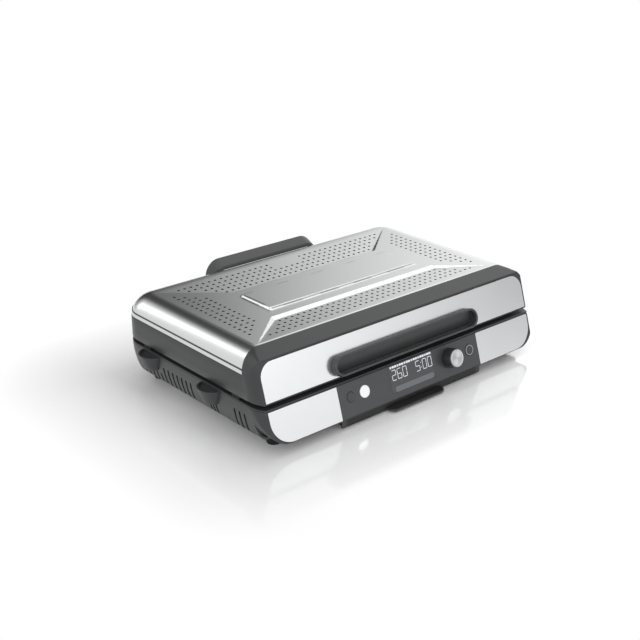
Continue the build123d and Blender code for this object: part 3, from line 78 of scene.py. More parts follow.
BAND_SLOPE = 0.25                                          # fall of the front frame's top towards the front
WALL_CURVE = 96.6                                          # slow curve of the base's wall
PLATE_MIDDLE = 14.0
LUG_PLACES = {"front": -41.3, "rear": 82.2}
FOOT_PLACES = {"front": -118.0, "rear": 112.0}
SIDES = ((-1, "left"), (1, "right"))


# ---------------------------------------------------------------- placing
def face_point(across, up, out):
    """A point given on the leaning face: to the right, up the face and outwards."""
    return Vector((across, -SEAM_FRONT, SEAM_MIDDLE)) + FACE_UP * up + FACE_OUT * out


def face_place(across=0.0, up=0.0, out=0.0):
    """Matrix of such a point, with X to the right, Y up the face and Z outwards."""
    rows = Matrix(((1, 0, 0), FACE_UP, FACE_OUT)).transposed()
    return Matrix.Translation(face_point(across, up, out) * MM) @ rows.to_4x4()


def flat_place(x=0.0, y=0.0, z=0.0):
    """Matrix of a level place at a height above the table."""
    return Matrix.Translation(Vector((x, y, z)) * MM)


def front_y(height):
    """Where the leaning front lies at a height."""
    return -SEAM_FRONT + LEAN * (height - SEAM_MIDDLE)


def face_up(height, depth):
    """How far up the face a height lies, at a depth behind it."""
    return (height - SEAM_MIDDLE + FACE_OUT.z * depth) / FACE_UP.z


# ---------------------------------------------------------------- outlines
def arc(x, y, radius, start, end, steps):
    """Points along an arc, angles in degrees."""
    points = []
    for step in range(steps + 1):
        angle = math.radians(start + (end - start) * step / steps)
        points.append((x + radius * math.cos(angle), y + radius * math.sin(angle)))
    return points


def rounded(width, height, radius, x=0.0, y=0.0, steps=8):
    """A rectangle with round corners about a middle."""
    a, b = width / 2 - radius, height / 2 - radius
    points = []
    for sx, sy, start in ((1, 1, 0), (-1, 1, 90), (-1, -1, 180), (1, -1, 270)):
        points += arc(x + sx * a, y + sy * b, radius, start, start + 90, steps)
    return points


def circle(radius, x=0.0, y=0.0, steps=48):
    """A circle as one closed outline."""
    return arc(x, y, radius, 0, 360 - 360 / steps, steps - 1)


def line_points(a, b, step):
    """Points along a straight line."""
    count = max(1, round(math.dist(a, b) / step))
    return [(a[0] + (b[0] - a[0]) * i / count, a[1] + (b[1] - a[1]) * i / count) for i in range(count + 1)]


def mirrored(points):
    """The same outline on the other side."""
    return [(-x, y) for x, y in reversed(points)]


def offset_loop(points, amount):
    """A closed outline, run anticlockwise, moved inwards along its own normals."""
    moved = []
    for before, point, after in zip(points[-1:] + points[:-1], points, points[1:] + points[:1]):
        way = Vector(point) - Vector(before)
        tangent = way.normalized() + (Vector(after) - Vector(point)).normalized()
        tangent.normalize()
        moved.append((point[0] - tangent.y * amount, point[1] + tangent.x * amount))
    return moved


def within(x, y, loop):
    """Whether a point lies inside a closed outline."""
    found = False
    for (ax, ay), (bx, by) in zip(loop, loop[1:] + loop[:1]):
        if (ay > y) != (by > y) and x < (bx - ax) * (y - ay) / (by - ay) + ax:
            found = not found
    return found


# ---------------------------------------------------------------- meshes
def new_mesh(name, vertices, faces):
    """A mesh from points in millimetres."""
    mesh = bpy.data.meshes.new(name)
    mesh.from_pydata([Vector(v) * MM for v in vertices], [], faces)
    mesh.validate()
    return mesh


def ring_edges(first, count):
    """Edges that close a row of points into a ring."""
    return [(first + i, first + (i + 1) % count) for i in range(count)]


def quads(rows, size, closed):
    """Four-cornered faces between rows of as many points each."""
    faces = []
    for row in range(rows - 1):
        for k in range(size if closed else size - 1):
            a, b = row * size + k, row * size + (k + 1) % size
            faces.append((a, b, b + size, a + size))
    return faces


def face_middle(points, face):
    """Middle of a face in the flat."""
    return [sum(points[i][axis] for i in face) / len(face) for axis in (0, 1)]


def slab(name, loops, place, low, high, bevel=0.0, segments=3):
    """A sheet of an outline with holes between two depths of a place, with soft edges."""
    curve = bpy.data.curves.new(name, "CURVE")
    curve.dimensions = "2D"
    curve.fill_mode = "BOTH"
    for loop in loops:
        spline = curve.splines.new("POLY")
        spline.points.add(len(loop) - 1)
        for point, (x, y) in zip(spline.points, loop):
            point.co = (x * MM, y * MM, 0, 1)
        spline.use_cyclic_u = True
    curve.extrude = ((high - low) / 2 - bevel) * MM
    curve.bevel_depth = bevel * MM
    curve.bevel_resolution = segments
    curve.offset = -bevel * MM
    draft = bpy.data.objects.new(name + "_draft", curve)
    collection.objects.link(draft)
    shape = draft.evaluated_get(bpy.context.evaluated_depsgraph_get())
    mesh = bpy.data.meshes.new_from_object(shape)
    bpy.data.objects.remove(draft)
    bpy.data.curves.remove(curve)
    mesh.transform(place @ Matrix.Translation((0, 0, (low + high) / 2 * MM)))
    return mesh


def turned(name, profile, place, steps=64, start=0.0, end=360.0):
    """A profile of (radius, height) turned about the Z axis of a place."""
    count = steps if end - start >= 360 else steps + 1
    vertices = []
    for step in range(count):
        angle = math.radians(start + (end - start) * step / steps)
        for radius, height in profile:
            vertices.append((radius * math.cos(angle), radius * math.sin(angle), height))
    size = len(profile)
    faces = []
    for step in range(steps):
        after = (step + 1) % count
        for k in range(size - 1):
            a, b = step * size + k, after * size + k
            faces.append((a, b, b + 1, a + 1))
    mesh = new_mesh(name, vertices, faces)
    # points on the axis become one, so that no face without area is left there
    work = bmesh.new()
    work.from_mesh(mesh)
    bmesh.ops.remove_doubles(work, verts=work.verts, dist=1e-7)
    work.to_mesh(mesh)
    work.free()
    mesh.transform(place)
    return mesh


def swept(name, sections):
    """A skin over a row of sections with as many points each, with both ends closed."""
    size, last = len(sections[0]), (len(sections) - 1) * len(sections[0])
    vertices = [point for section in sections for point in section]
    faces = quads(len(sections), size, True)
    faces += [tuple(reversed(range(size))), tuple(range(last, last + size))]
    return new_mesh(name, vertices, faces)


def joined(name, meshes):
    """Several meshes as one."""
    vertices, faces = [], []
    for mesh in meshes:
        offset = len(vertices)
        vertices += [v.co.copy() for v in mesh.vertices]
        faces += [tuple(offset + i for i in p.vertices) for p in mesh.polygons]
    whole = bpy.data.meshes.new(name)
    whole.from_pydata(vertices, [], faces)
    return whole


def piece(mesh, material, body, replaced=(), angle=32.0, place=None):
    """Show a mesh as a piece that rides on a body of the frame. Level faces and those of the leaning front stay
    flat, and the others are smooth up to an angle between them."""
    obj = bpy.data.objects.new(mesh.name, mesh)
    collection.objects.link(obj)
    if place:
        obj.matrix_world = place
        bpy.context.view_layer.update()
    mesh.materials.clear()
    mesh.materials.append(material)
    mesh.set_sharp_from_angle(angle=math.radians(angle))
    level = Vector((0, 0, 1))
    curved = [max(abs(p.normal.dot(level)), abs(p.normal.dot(FACE_OUT))) < 0.9995 for p in mesh.polygons]
    mesh.polygons.foreach_set("use_smooth", curved)
    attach(obj, body)
    if replaced:
        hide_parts(*replaced)
    return obj


def orient(obj):
    """Make the faces of a closed mesh look outwards."""
    work = bmesh.new()
    work.from_mesh(obj.data)
    bmesh.ops.recalc_face_normals(work, faces=work.faces)
    work.to_mesh(obj.data)
    work.free()


def look_out(mesh):
    """Make the faces of an open wall look away from the middle of the grill."""
    core = Vector((0, 0, 60))
    if sum((p.center / MM - core).dot(p.normal) * p.area for p in mesh.polygons) < 0:
        mesh.flip_normals()


def thicken(obj, thickness):
    """Give a surface its sheet thickness, inwards, with crisp cut edges."""
    work = bmesh.new()
    work.from_mesh(obj.data)
    for edge in work.edges:
        if edge.is_boundary:
            edge.smooth = False
    work.to_mesh(obj.data)
    work.free()
    solid = obj.modifiers.new("sheet", "SOLIDIFY")
    solid.thickness = thickness * MM
    solid.offset = -1
    solid.use_even_offset = False
    return solid


# ---------------------------------------------------------------- materials
def srgb(code):
    """Linear colour from a hex code."""
    values = [int(code[i:i + 2], 16) / 255 for i in (0, 2, 4)]
    return tuple(v / 12.92 if v <= 0.04045 else ((v + 0.055) / 1.055) ** 2.4 for v in values) + (1.0,)


def add(tree, kind, links=(), settings=(), **sockets):
    """Add a node with its settings, its socket values and its links."""
    node = tree.nodes.new(kind)
    for name, value in dict(settings).items():
        setattr(node, name, value)
    for name, value in sockets.items():
        node.inputs[name.replace("_", " ")].default_value = value
    for source, name in links:
        tree.links.new(source, node.inputs[name])
    return node


def empty_tree(owner):
    """The node tree of a new material or world, with nothing in it."""
    owner.use_nodes = True
    owner.node_tree.nodes.clear()
    return owner.node_tree


def material(name, colour, roughness, metallic=0.0, grain=0.0, grain_size=0.3, stretch=(1, 1, 1), mottle=0.04,
             mottle_size=40.0, rough_swing=0.05, edge=0.0, edge_colour="FFFFFF", coat=0.0, specular=0.5,
             anisotropy=0.0):
    """A surface with fine grain, slow changes of colour and sheen and a little wear on its edges. The grain's
    depth and all sizes are in millimetres on the real object."""
    made = bpy.data.materials.new(name)
    tree = empty_tree(made)
    place = add(tree, "ShaderNodeTexCoord")
    scaled = add(tree, "ShaderNodeMapping", [(place.outputs["Object"], "Vector")], Scale=Vector(stretch))
    broad = add(tree, "ShaderNodeTexNoise", [(place.outputs["Object"], "Vector")],
                Scale=1000 / mottle_size, Detail=3.0, Roughness=0.55)
    fine = add(tree, "ShaderNodeTexNoise", [(scaled.outputs["Vector"], "Vector")],
               Scale=1000 / grain_size, Detail=2.0, Roughness=0.6)
    tone = add(tree, "ShaderNodeMix", [(broad.outputs["Fac"], "Factor")], {"data_type": "RGBA"})
    tone.inputs[6].default_value = tuple(c * (1 - mottle) for c in srgb(colour)[:3]) + (1.0,)
    tone.inputs[7].default_value = tuple(min(1.0, c * (1 + mottle)) for c in srgb(colour)[:3]) + (1.0,)
    shown = tone.outputs[2]
    if edge:
        geometry = add(tree, "ShaderNodeNewGeometry")
        ramp = add(tree, "ShaderNodeMapRange", [(geometry.outputs["Pointiness"], "Value")],
                   From_Min=0.53, From_Max=0.62, To_Min=0.0, To_Max=edge)
        worn = add(tree, "ShaderNodeMix", [(ramp.outputs[0], "Factor"), (shown, 6)], {"data_type": "RGBA"})
        worn.inputs[7].default_value = srgb(edge_colour)
        shown = worn.outputs[2]
    sheen = add(tree, "ShaderNodeMapRange", [(broad.outputs["Fac"], "Value")],
                To_Min=max(0.02, roughness - rough_swing), To_Max=roughness + rough_swing)
    shader = add(tree, "ShaderNodeBsdfPrincipled", [(shown, "Base Color"), (sheen.outputs[0], "Roughness")],
                 Metallic=metallic, Coat_Weight=coat, Coat_Roughness=0.08, Specular_IOR_Level=specular,
                 Anisotropic=anisotropy)
    if anisotropy:
        rings = add(tree, "ShaderNodeTangent", (), {"direction_type": "RADIAL", "axis": "Z"})
        tree.links.new(rings.outputs[0], shader.inputs["Tangent"])
    if grain:
        bump = add(tree, "ShaderNodeBump", [(fine.outputs["Fac"], "Height")], Strength=1.0, Distance=grain * MM)
        tree.links.new(bump.outputs["Normal"], shader.inputs["Normal"])
    add(tree, "ShaderNodeOutputMaterial", [(shader.outputs[0], "Surface")])
    return made


def lit(name, colour, strength):
    """A display film that gives light, a little uneven from place to place."""
    made = bpy.data.materials.new(name)
    made.use_nodes = True
    tree = made.node_tree
    shader = tree.nodes["Principled BSDF"]
    place = add(tree, "ShaderNodeTexCoord")
    noise = add(tree, "ShaderNodeTexNoise", [(place.outputs["Object"], "Vector")], Scale=900.0, Detail=1.0)
    glow = add(tree, "ShaderNodeMapRange", [(noise.outputs["Fac"], "Value")],
               To_Min=strength * 0.92, To_Max=strength * 1.08)
    shader.inputs["Base Color"].default_value = srgb(colour)
    shader.inputs["Roughness"].default_value = 0.4
    shader.inputs["Emission Color"].default_value = srgb(colour)
    tree.links.new(glow.outputs[0], shader.inputs["Emission Strength"])
    return made


# Brushed stainless sheet: a bright grey mirror that smears what it shows along its lines. The real lines are
# about 0.05 mm wide; they're drawn 0.35 mm wide and 12 mm long, or none would show.
SKIN = material("Stainless sheet, fine brushed and rolled", "D2D3D3", 0.23, 1.0, grain=0.0004, grain_size=0.35,
                stretch=(0.03, 1, 1), mottle=0.01, mottle_size=60, rough_swing=0.01)
# Filled nylon out of an eroded tool: even charcoal, a broad dull sheen and edges a touch paler. The real grain
# is about 0.1 mm and is drawn at 0.6 mm.
MOULDING = material("Charcoal nylon, fine eroded grain", "2E2F30", 0.38, grain=0.010, grain_size=0.6,
                    mottle=0.04, mottle_size=50, edge=0.10, edge_colour="6E7070", specular=0.38)
# Lacquered steel: a pale, calm mirror without lines. The flake is about 0.03 mm and is drawn at 0.15 mm.
SILVER = material("Silver lacquer on pressed steel", "DADCDD", 0.22, 0.95, grain=0.0004, grain_size=0.15,
                  mottle=0.02, mottle_size=80, rough_swing=0.03)
# Hard-coated acrylic: dark grey with a satin sheen, quiet enough for the lit figures to stand out.
FASCIA = material("Satin dark acrylic fascia", "38393C", 0.34, grain=0.003, grain_size=0.4, mottle=0.03)
# Polished acrylic: a little darker and glossier than the fascia, so that its edge only just shows.
LENS = material("Polished smoked acrylic window", "333437", 0.2, coat=0.3, mottle=0.03, rough_swing=0.02)
# Moulded block behind the window: gives back next to no light.
BLOCK = material("Black moulded display block", "101012", 0.5, grain=0.01, grain_size=0.5)
# Solder mask on glass laminate: smooth dark green, with the weave drawn at 0.3 mm.
LAMINATE = material("Green coated circuit laminate", "1E4D2E", 0.45, grain=0.004, grain_size=0.3)
# Polypropylene: black with a waxy half gloss.
BLACK = material("Black polypropylene moulding", "151515", 0.45, grain=0.008, grain_size=0.5, edge=0.06)
# Galvanised steel: dull silver, with paler and darker crystals of about 9 mm.
ZINC = material("Zinc coated pressed steel", "A9ABAD", 0.38, 0.95, grain=0.004, grain_size=1.2, mottle=0.10,
                mottle_size=9)
# Sheared edge of the skin, coloured as painted shade: a dull dark rim that stands in for the shade inside each
# hole, so that each hole reads as open.
HOLE_WALL_SHADE = material("Painted shade on the punched hole walls", "303132", 0.6, 0.3, grain=0.004, grain_size=0.2, mottle=0.1)
# Stainless as it comes from the mill: greyer than the skin, with faint rolling lines drawn 0.4 mm wide.
LINER = material("Plain mill-finish stainless", "B4B5B5", 0.28, 1.0, grain=0.002, grain_size=0.4,
                 stretch=(0.05, 1, 1), mottle=0.04)
# Turned steel: small crisp highlights on a mid grey. Tool marks of 0.05 mm are drawn at 0.2 mm.
MACHINED = material("Bright turned steel", "9C9DA0", 0.28, 1.0, grain=0.002, grain_size=0.2, mottle=0.04)
# Satin nylon: soft dark grey under a wide faint highlight. The real grain of 0.1 mm is drawn at 0.6 mm.
HANDLE = material("Soft satin black nylon", "343536", 0.40, grain=0.008, grain_size=0.6, mottle=0.04, edge=0.08,
                  edge_colour="505152")
# Powder coat: black with a slight orange peel of about 0.5 mm, rubbed paler along its edges.
POWDER = material("Black powder-coated steel", "18191A", 0.5, 0.1, grain=0.02, grain_size=0.5, edge=0.2,
                  edge_colour="6A6B6B")
# Rubber: deep black without a highlight to speak of.
RUBBER = material("Soft black rubber", "141414", 0.75, grain=0.01, grain_size=0.4, specular=0.3)
# Sprayed non-stick coat on cast aluminium: near black, faintly speckled and paler where the ridges wear.
CAST = material("Non-stick coated cast aluminium", "1E1E1F", 0.42, grain=0.02, grain_size=0.7, mottle=0.10,
                mottle_size=25, edge=0.15, edge_colour="4A4A4A")
# Alloy tube that has glowed: brownish grey, uneven along its length.
SHEATH = material("Heat-tinted alloy sheath", "5C564F", 0.42, 0.9, grain=0.006, grain_size=0.5, mottle=0.2,
                  mottle_size=30)
# Knob skirt out of a polished tool: darker and smoother than the fascia, so that the disc stands out.
SKIRT = material("Satin dark knob moulding", "26272A", 0.30, grain=0.002, grain_size=0.3)
# Spun aluminium: its turning rings draw the highlight out into a bow tie across the disc.
SPUN = material("Spun and anodised aluminium disc", "C4C6C8", 0.34, 1.0, mottle=0.02, anisotropy=0.8)
# Milky acrylic: the palest spot of the controls, with a soft sheen.
PALE = material("Pale translucent button cap", "E6E8EA", 0.3, grain=0.001, grain_size=0.3)
# Satin acrylic: as dark as the fascia, so that only the cap's rim catches the light.
CAP = material("Satin dark button cap", "343538", 0.35, grain=0.002, grain_size=0.3)
# Polypropylene out of a smooth tool: black and a little glossier than the housing.
TRAY = material("Smooth black tray moulding", "1C1C1D", 0.38, grain=0.006, grain_size=0.6, edge=0.06)
# Cells lit from behind: an even cold white, and a grey bar that only just glows.
LIT = lit("White lit display segments", "CDD2D8", 0.22)
DIM = lit("Dim diffused display bar", "5E6165", 0.03)

# ---------------------------------------------------------------- lid skin
HOLE_PITCH, HOLE_RADIUS, HOLE_STEPS = 9.5, 1.8, 16
FACETS = ((-91.9, -46.1, 136.8), (114.3, 58.4, 122.6))     # outer edge, inner crease and half that crease
FACET_END, FACET_BEVEL, FACET_SLOPE = 198.1, 5.7, 0.06
PLATEAU_HALF_WIDTH, PLATEAU_HALF_DEPTH, PLATEAU_MIDDLE, PLATEAU_RISE = 123.5, 28.05, 6.6, 2.8
PLATEAU_CORNER, PLATEAU_EASE, CREASE_EASE = 1.5, 0.6, 0.10
RIM_STEP, CREASE_STEP, GRID_STEP, NEAR_STEP = 5.0, 2.5, 2.6, 1.3


def hole_places():
    """Middles of the holes: two side bands, a front band and a rear band with a gap in its outer two rows. The
    rows get shorter from the rim inwards."""
    side_x, side_y, front_row, rear_row = 189.2, -65.1, -80.0, 103.9
    places = []
    for side, _ in SIDES:
        for column in range(4):
            for row in range(column, 17 - column):
                places.append((side * (side_x - column * HOLE_PITCH), side_y + row * HOLE_PITCH))
    for rows, first, step, even_rows in ((4, front_row, HOLE_PITCH, 1), (5, rear_row, -HOLE_PITCH, 2)):
        for row in range(rows):
            half = 18 - (row if row < even_rows else row + 1)
            for number in range(-half, half + 1):
                if first == front_row or abs(number) > 2 or row >= 2:
                    places.append((number * HOLE_PITCH, first + row * step))
    return places


def soft_max(a, b, ease):
    """The larger of two heights, with the crease between them eased."""
    h = max(ease - abs(a - b), 0.0) / ease
    return max(a, b) + h * h * ease / 4


def facet_height(x, y, outer, inner, half):
    """Depth of one dished facet below the flat: a gentle fall that ends in a steep rise and two steep ends."""
    toward = 1 if inner > outer else -1
    depth = FACET_SLOPE * abs(inner - outer)
    fall = -FACET_SLOPE * (y - outer) * toward
    rise = -depth + depth / FACET_BEVEL * (y - inner) * toward
    height = soft_max(fall, rise, CREASE_EASE)
    ends = []
    for side in (-1, 1):
        tip = Vector((side * FACET_END, outer, 0))
        low = Vector((side * half, inner, -depth))
        high = Vector((side * half, inner + FACET_BEVEL * toward, 0))
        n = (low - tip).cross(high - tip)
        ends.append(tip.z - (n.x * (x - tip.x) + n.y * (y - tip.y)) / n.z)
    for end in ends:
        height = soft_max(height, end, CREASE_EASE)
    return -soft_max(-height, 0.0, 0.07) if height < 0.2 else 0.0


def roof_height(x, y):
    """Height of the pressed roof above the table: the flat with its facets, its plateau and its front roll."""
    height = LID_TOP
    for outer, inner, half in FACETS:
        height += min(0.0, facet_height(x, y, outer, inner, half))
    dx = max(abs(x) - PLATEAU_HALF_WIDTH + PLATEAU_CORNER, 0.0)
    dy = max(abs(y - PLATEAU_MIDDLE) - PLATEAU_HALF_DEPTH + PLATEAU_CORNER, 0.0)
    raised = PLATEAU_RISE + PLATEAU_CORNER - math.hypot(dx, dy)
    raised = -soft_max(-raised, -PLATEAU_RISE, PLATEAU_EASE)
    raised = soft_max(raised, 0.0, PLATEAU_EASE) if raised > -PLATEAU_EASE else 0.0
    roll = max(0.0, 1.2 - (y - SKIN_FRONT)) ** 2 * 0.35
    return height + raised - roll


def inside(x, y, margin):
    """Whether a point lies within the roof's flat, at least a margin in from its rim."""
    if abs(x) > ROOF_SIDE - margin or y < SKIN_FRONT + margin or y > ROOF_BACK - margin:
        return False
    cx, cy = abs(x) - CORNER_X, y - CORNER_Y
    return not (cx > 0 and cy > 0 and math.hypot(cx, cy) > ROOF_CORNER - margin)


def crease_lines():
    """Rows of points along the facets' creases and round the plateau's slope, which keep them crisp."""
    creases = []
    for outer, inner, half in FACETS:
        beyond = inner + math.copysign(FACET_BEVEL, inner - outer)
        for side in (-1, 1):
            tip, low, high = (side * FACET_END, outer), (side * half, inner), (side * half, beyond)
            creases += [(tip, low), (tip, high), (low, high)]
        creases += [((-half, inner), (half, inner)), ((-half, beyond), (half, beyond))]
        creases.append(((-FACET_END, outer), (FACET_END, outer)))
    lines = []
    for a, b in creases:
        along = Vector((b[0] - a[0], b[1] - a[1])).normalized()
        for shift in (-0.7, 0.0, 0.7):
            line = line_points(a, b, CREASE_STEP)
            lines.append([(x - along.y * shift, y + along.x * shift) for x, y in line])
    for grow in (-0.4, 0.5, 1.4, 2.3, 3.2):
        loop = rounded(2 * (PLATEAU_HALF_WIDTH + grow), 2 * (PLATEAU_HALF_DEPTH + grow),
                       max(0.6, PLATEAU_CORNER + grow), 0, PLATEAU_MIDDLE, 3)
        ring = []
        for a, b in zip(loop, loop[1:] + loop[:1]):
            ring += line_points(a, b, CREASE_STEP)[:-1]
        lines.append(ring + ring[:1])
    return lines


def roof_points(holes):
    """Points that carry the roof's form between rim and holes: close along the creases, elsewhere in a grid."""
    line_room, grid_room = 2.1, 2.4     # how near a point may come to the middle of a hole
    points, taken = [], set()
    for line in crease_lines():
        for x, y in line:
            if inside(x, y, 1.0) and all(math.dist((x, y), h) > line_room for h in holes if abs(h[0] - x) < 3):
                points.append((x, y))
                taken.add((round(x / NEAR_STEP), round(y / NEAR_STEP)))
    width, length = 2 * ROOF_SIDE, ROOF_BACK - SKIN_FRONT
    columns, rows = int(width / GRID_STEP), int(length / GRID_STEP)
    for i in range(columns + 1):
        for j in range(rows + 1):
            x, y = -ROOF_SIDE + width * i / columns, SKIN_FRONT + length * j / rows
            if not inside(x, y, 1.5) or (round(x / NEAR_STEP), round(y / NEAR_STEP)) in taken:
                continue
            if not any(abs(h[0] - x) < grid_room and abs(h[1] - y) < grid_room for h in holes):
                points.append((x, y))
    return points


def follow_frame(y, z, start):
    """Where a point of a wall lies along Y; near the front the wall follows the leaning frame."""
    share = max(0.0, 1 - (y - start) / 30)
    return y + (front_y(z) + BEZEL_DEPTH - start) * share


def lid_skin():
    """The pressed, creased and perforated skin, with round holes and a rolled edge all round."""
    left = line_points((-ROOF_SIDE, SKIN_FRONT), (-ROOF_SIDE, CORNER_Y), RIM_STEP)[:-1]
    left += arc(-CORNER_X, CORNER_Y, ROOF_CORNER, 180, 90, 12)[:-1]
    path = left + line_points((-CORNER_X, ROOF_BACK), (CORNER_X, ROOF_BACK), RIM_STEP) + mirrored(left)
    points = path + line_points((ROOF_SIDE, SKIN_FRONT), (-ROOF_SIDE, SKIN_FRONT), RIM_STEP)[1:-1]
    edges = ring_edges(0, len(points))
    holes = hole_places()
    near = {}
    for x, y in holes:
        edges += ring_edges(len(points), HOLE_STEPS)
        points += circle(HOLE_RADIUS, x, y, HOLE_STEPS)
        near.setdefault((round(x / HOLE_PITCH), round(y / HOLE_PITCH)), []).append((x, y))
    points += roof_points(holes)
    flat, _, triangles, origins, _, _ = delaunay_2d_cdt([Vector(p) for p in points], edges, [], 1, 1e-4)
    vertices = [(p.x, p.y, roof_height(p.x, p.y)) for p in flat]
    faces = []
    for triangle in triangles:
        x, y = face_middle(flat, triangle)
        column, row = round(x / HOLE_PITCH), round(y / HOLE_PITCH)
        close = [h for a in (-1, 0, 1) for b in (-1, 0, 1) for h in near.get((column + a, row + b), [])]
        if all(math.dist((x, y), h) > HOLE_RADIUS - 0.05 for h in close) and inside(x, y, -0.01):
            faces.append(tuple(triangle))
    # the rolled shoulder, ring by ring outwards and down from the rim
    found = {old: new for new, olds in enumerate(origins) for old in olds}
    previous = [found[i] for i in range(len(path))]
    steps = 14
    turn = math.acos((SKIN_EDGE + 0.6 - ROOF_MIDDLE) / ROOF_RADIUS)
    for step in range(1, steps + 1):
        z = ROOF_MIDDLE + ROOF_RADIUS * math.cos(turn * step / steps)
        reach = ROOF_RADIUS * math.sin(turn * step / steps)
        ring = []
        for x, y in path:
            cx, cy = abs(x) - CORNER_X, y - CORNER_Y
            if cx > 0 and cy > 0:
                normal = Vector((math.copysign(cx, x), cy)).normalized()
            else:
                normal = Vector((0.0, 1.0)) if cy > 0 else Vector((math.copysign(1.0, x), 0.0))
            ring.append(len(vertices))
            vertices.append((x + normal.x * reach, follow_frame(y, z, SKIN_FRONT) + normal.y * reach, z))
        faces += [(previous[a], previous[a + 1], ring[a + 1], ring[a]) for a in range(len(ring) - 1)]
        previous = ring
    mesh = new_mesh("skin_pressing", vertices, faces)
    obj = piece(mesh, SKIN, "lid", ["lid_skin"], 60)
    look_out(mesh)
    # second finish: painted shade, which the sheet's cut rim round each hole takes below
    mesh.materials.append(HOLE_WALL_SHADE)
    # 0.5 mm where the solid has 1 mm, so that the holes read as open from a low view
    thicken(obj, 0.5).material_offset_rim = 1


lid_skin()


# ---------------------------------------------------------------- walls that run round the sides and back
def wall_path():
    """Places along the sides and back, from the left front to the right front: point and outward normal."""
    side = line_points((-HALF_WIDTH, WALL_START), (-HALF_WIDTH, CORNER_Y), 6.0)[:-1]
    left = [(x, y, -1.0, 0.0) for x, y in side]
    for n in range(17):
        angle = math.radians(180 - 90 * n / 16)
        nx, ny = math.cos(angle), math.sin(angle)
        left.append((-CORNER_X + CORNER_RADIUS * nx, CORNER_Y + CORNER_RADIUS * ny, nx, ny))
    back = line_points((-CORNER_X, REAR_WALL), (CORNER_X, REAR_WALL), 6.0)[1:-1]
    return left + [(x, y, 0.0, 1.0) for x, y in back] + [(-x, y, -nx, ny) for x, y, nx, ny in reversed(left)]


def wall_point(place, offset, z):
    """A point of a wall at an offset along its normal and a height."""
    x, y, nx, ny = place
    return (x + nx * offset, follow_frame(y, z, WALL_START) + ny * offset, z)


def base_offset(z, radius=BASE_ROUND):
    """How far the base's wall has come in at a height, with a rounded lower edge."""
    tall = BASE_RIM - BASE_BOTTOM
    centre = -WALL_CURVE + math.sqrt((WALL_CURVE - radius) ** 2 - (tall - radius) ** 2)
    if z >= BASE_RIM - (tall - radius) * WALL_CURVE / (WALL_CURVE - radius):
        return -WALL_CURVE + math.sqrt(WALL_CURVE ** 2 - (BASE_RIM - z) ** 2)
    return centre + math.sqrt(max(0.0, radius ** 2 - (BASE_BOTTOM + radius - z) ** 2))


def lid_band():
    """Dark band under the skin round the sides and back of the lid."""
    profile = [(-3.0, LID_EDGE + 0.4), (-2.6, LID_EDGE), (-1.2, LID_EDGE), (-0.35, LID_EDGE + 0.35),
               (0.0, LID_EDGE + 1.2), (0.0, 70.0), (0.0, 80.0), (0.0, SKIN_EDGE - 0.6), (-0.2, SKIN_EDGE - 0.1),
               (-0.6, SKIN_EDGE), (-1.1, SKIN_EDGE), (-1.1, SKIN_EDGE + 6.5), (-3.0, SKIN_EDGE + 6.5)]
    sections = [[wall_point(place, offset, z) for offset, z in profile] for place in wall_path()]
    orient(piece(swept("lid_band", sections), MOULDING, "lid", ["lid_frame"]))


lid_band()


def vent_slots():
    """Slots of the side walls as (middle along Y, bottom, top), shorter under the lugs."""
    places = [-105.0 + n * 9.4 for n in range(3)] + [LUG_PLACES["front"] + n * 6.3 for n in (-1, 0, 1)]
    places += [0.3 + n * 9.4 for n in range(12)]
    return [(y, 18.0, 30.5 if any(abs(y - lug) < 20 for lug in LUG_PLACES.values()) else 41.8) for y in places]


def housing():
    """Moulded base wall with its vents and floor ledge, rounded in towards the table."""
    heights = [DECK_BOTTOM - 0.3] + [DECK_BOTTOM - 1.0 - n * 2.3 for n in range(14)]
    heights += [BASE_BOTTOM + BASE_ROUND * (1 - math.sin(math.radians(a))) for a in range(25, 90, 8)]
    heights.append(BASE_BOTTOM)
    ledge = 16.0
    vertices = []
    path = wall_path()
    for place in path:
        vertices += [wall_point(place, base_offset(z), z) for z in heights]
        vertices.append(wall_point(place, base_offset(BASE_BOTTOM) - ledge, BASE_BOTTOM))
    mesh = new_mesh("base_wall", vertices, quads(len(path), len(heights) + 1, False))
    obj = piece(mesh, MOULDING, "base", ["base_housing"])
    look_out(mesh)
    thicken(obj, BASE_WALL)
    cuts = []
    slot_width, wall_x, reach = 3.2, 226, 14
    sideways = Matrix(((0, 0, 1), (1, 0, 0), (0, 1, 0))).to_4x4()
    for y, low, high in vent_slots():
        outline = rounded(slot_width, high - low, 1.55, y, (low + high) / 2, 4)
        for side, _ in SIDES:
            cuts.append(slab("vent", [outline], flat_place(side * wall_x) @ sideways, -reach, reach))
    cutter = bpy.data.objects.new("vent_cutter", joined("vent_cutter", cuts))
    collection.objects.link(cutter)
    cut = obj.modifiers.new("vents", "BOOLEAN")
    cut.operation = "DIFFERENCE"
    cut.solver = "EXACT"
    cut.object = cutter
    baked = bpy.data.meshes.new_from_object(obj.evaluated_get(bpy.context.evaluated_depsgraph_get()))
    obj.modifiers.clear()
    obj.data = baked
    baked.name = "base_wall"
    bpy.data.objects.remove(cutter)
    baked.set_sharp_from_angle(angle=math.radians(32))


housing()

# ---------------------------------------------------------------- dark front frames
FRAME_DEPTHS = (22.38, 20, 17, 14, 11, 8.5, 6, 4)          # rings of the wrap behind the face
FRAME_CORNER, FRAME_ROUND, FRAME_SHEET = 2.2, 31.0, 2.4    # seam corner, lower corner and wall of the frames


def plan_limit(depth):
    """Half width of the front frames at a depth behind the leaning face."""
    reach = min(CORNER_DEPTH, depth / LEAN_COSINE)
    return HALF_WIDTH - FRONT_BULGE + math.sqrt(FRONT_BULGE ** 2 - (CORNER_DEPTH - reach) ** 2)


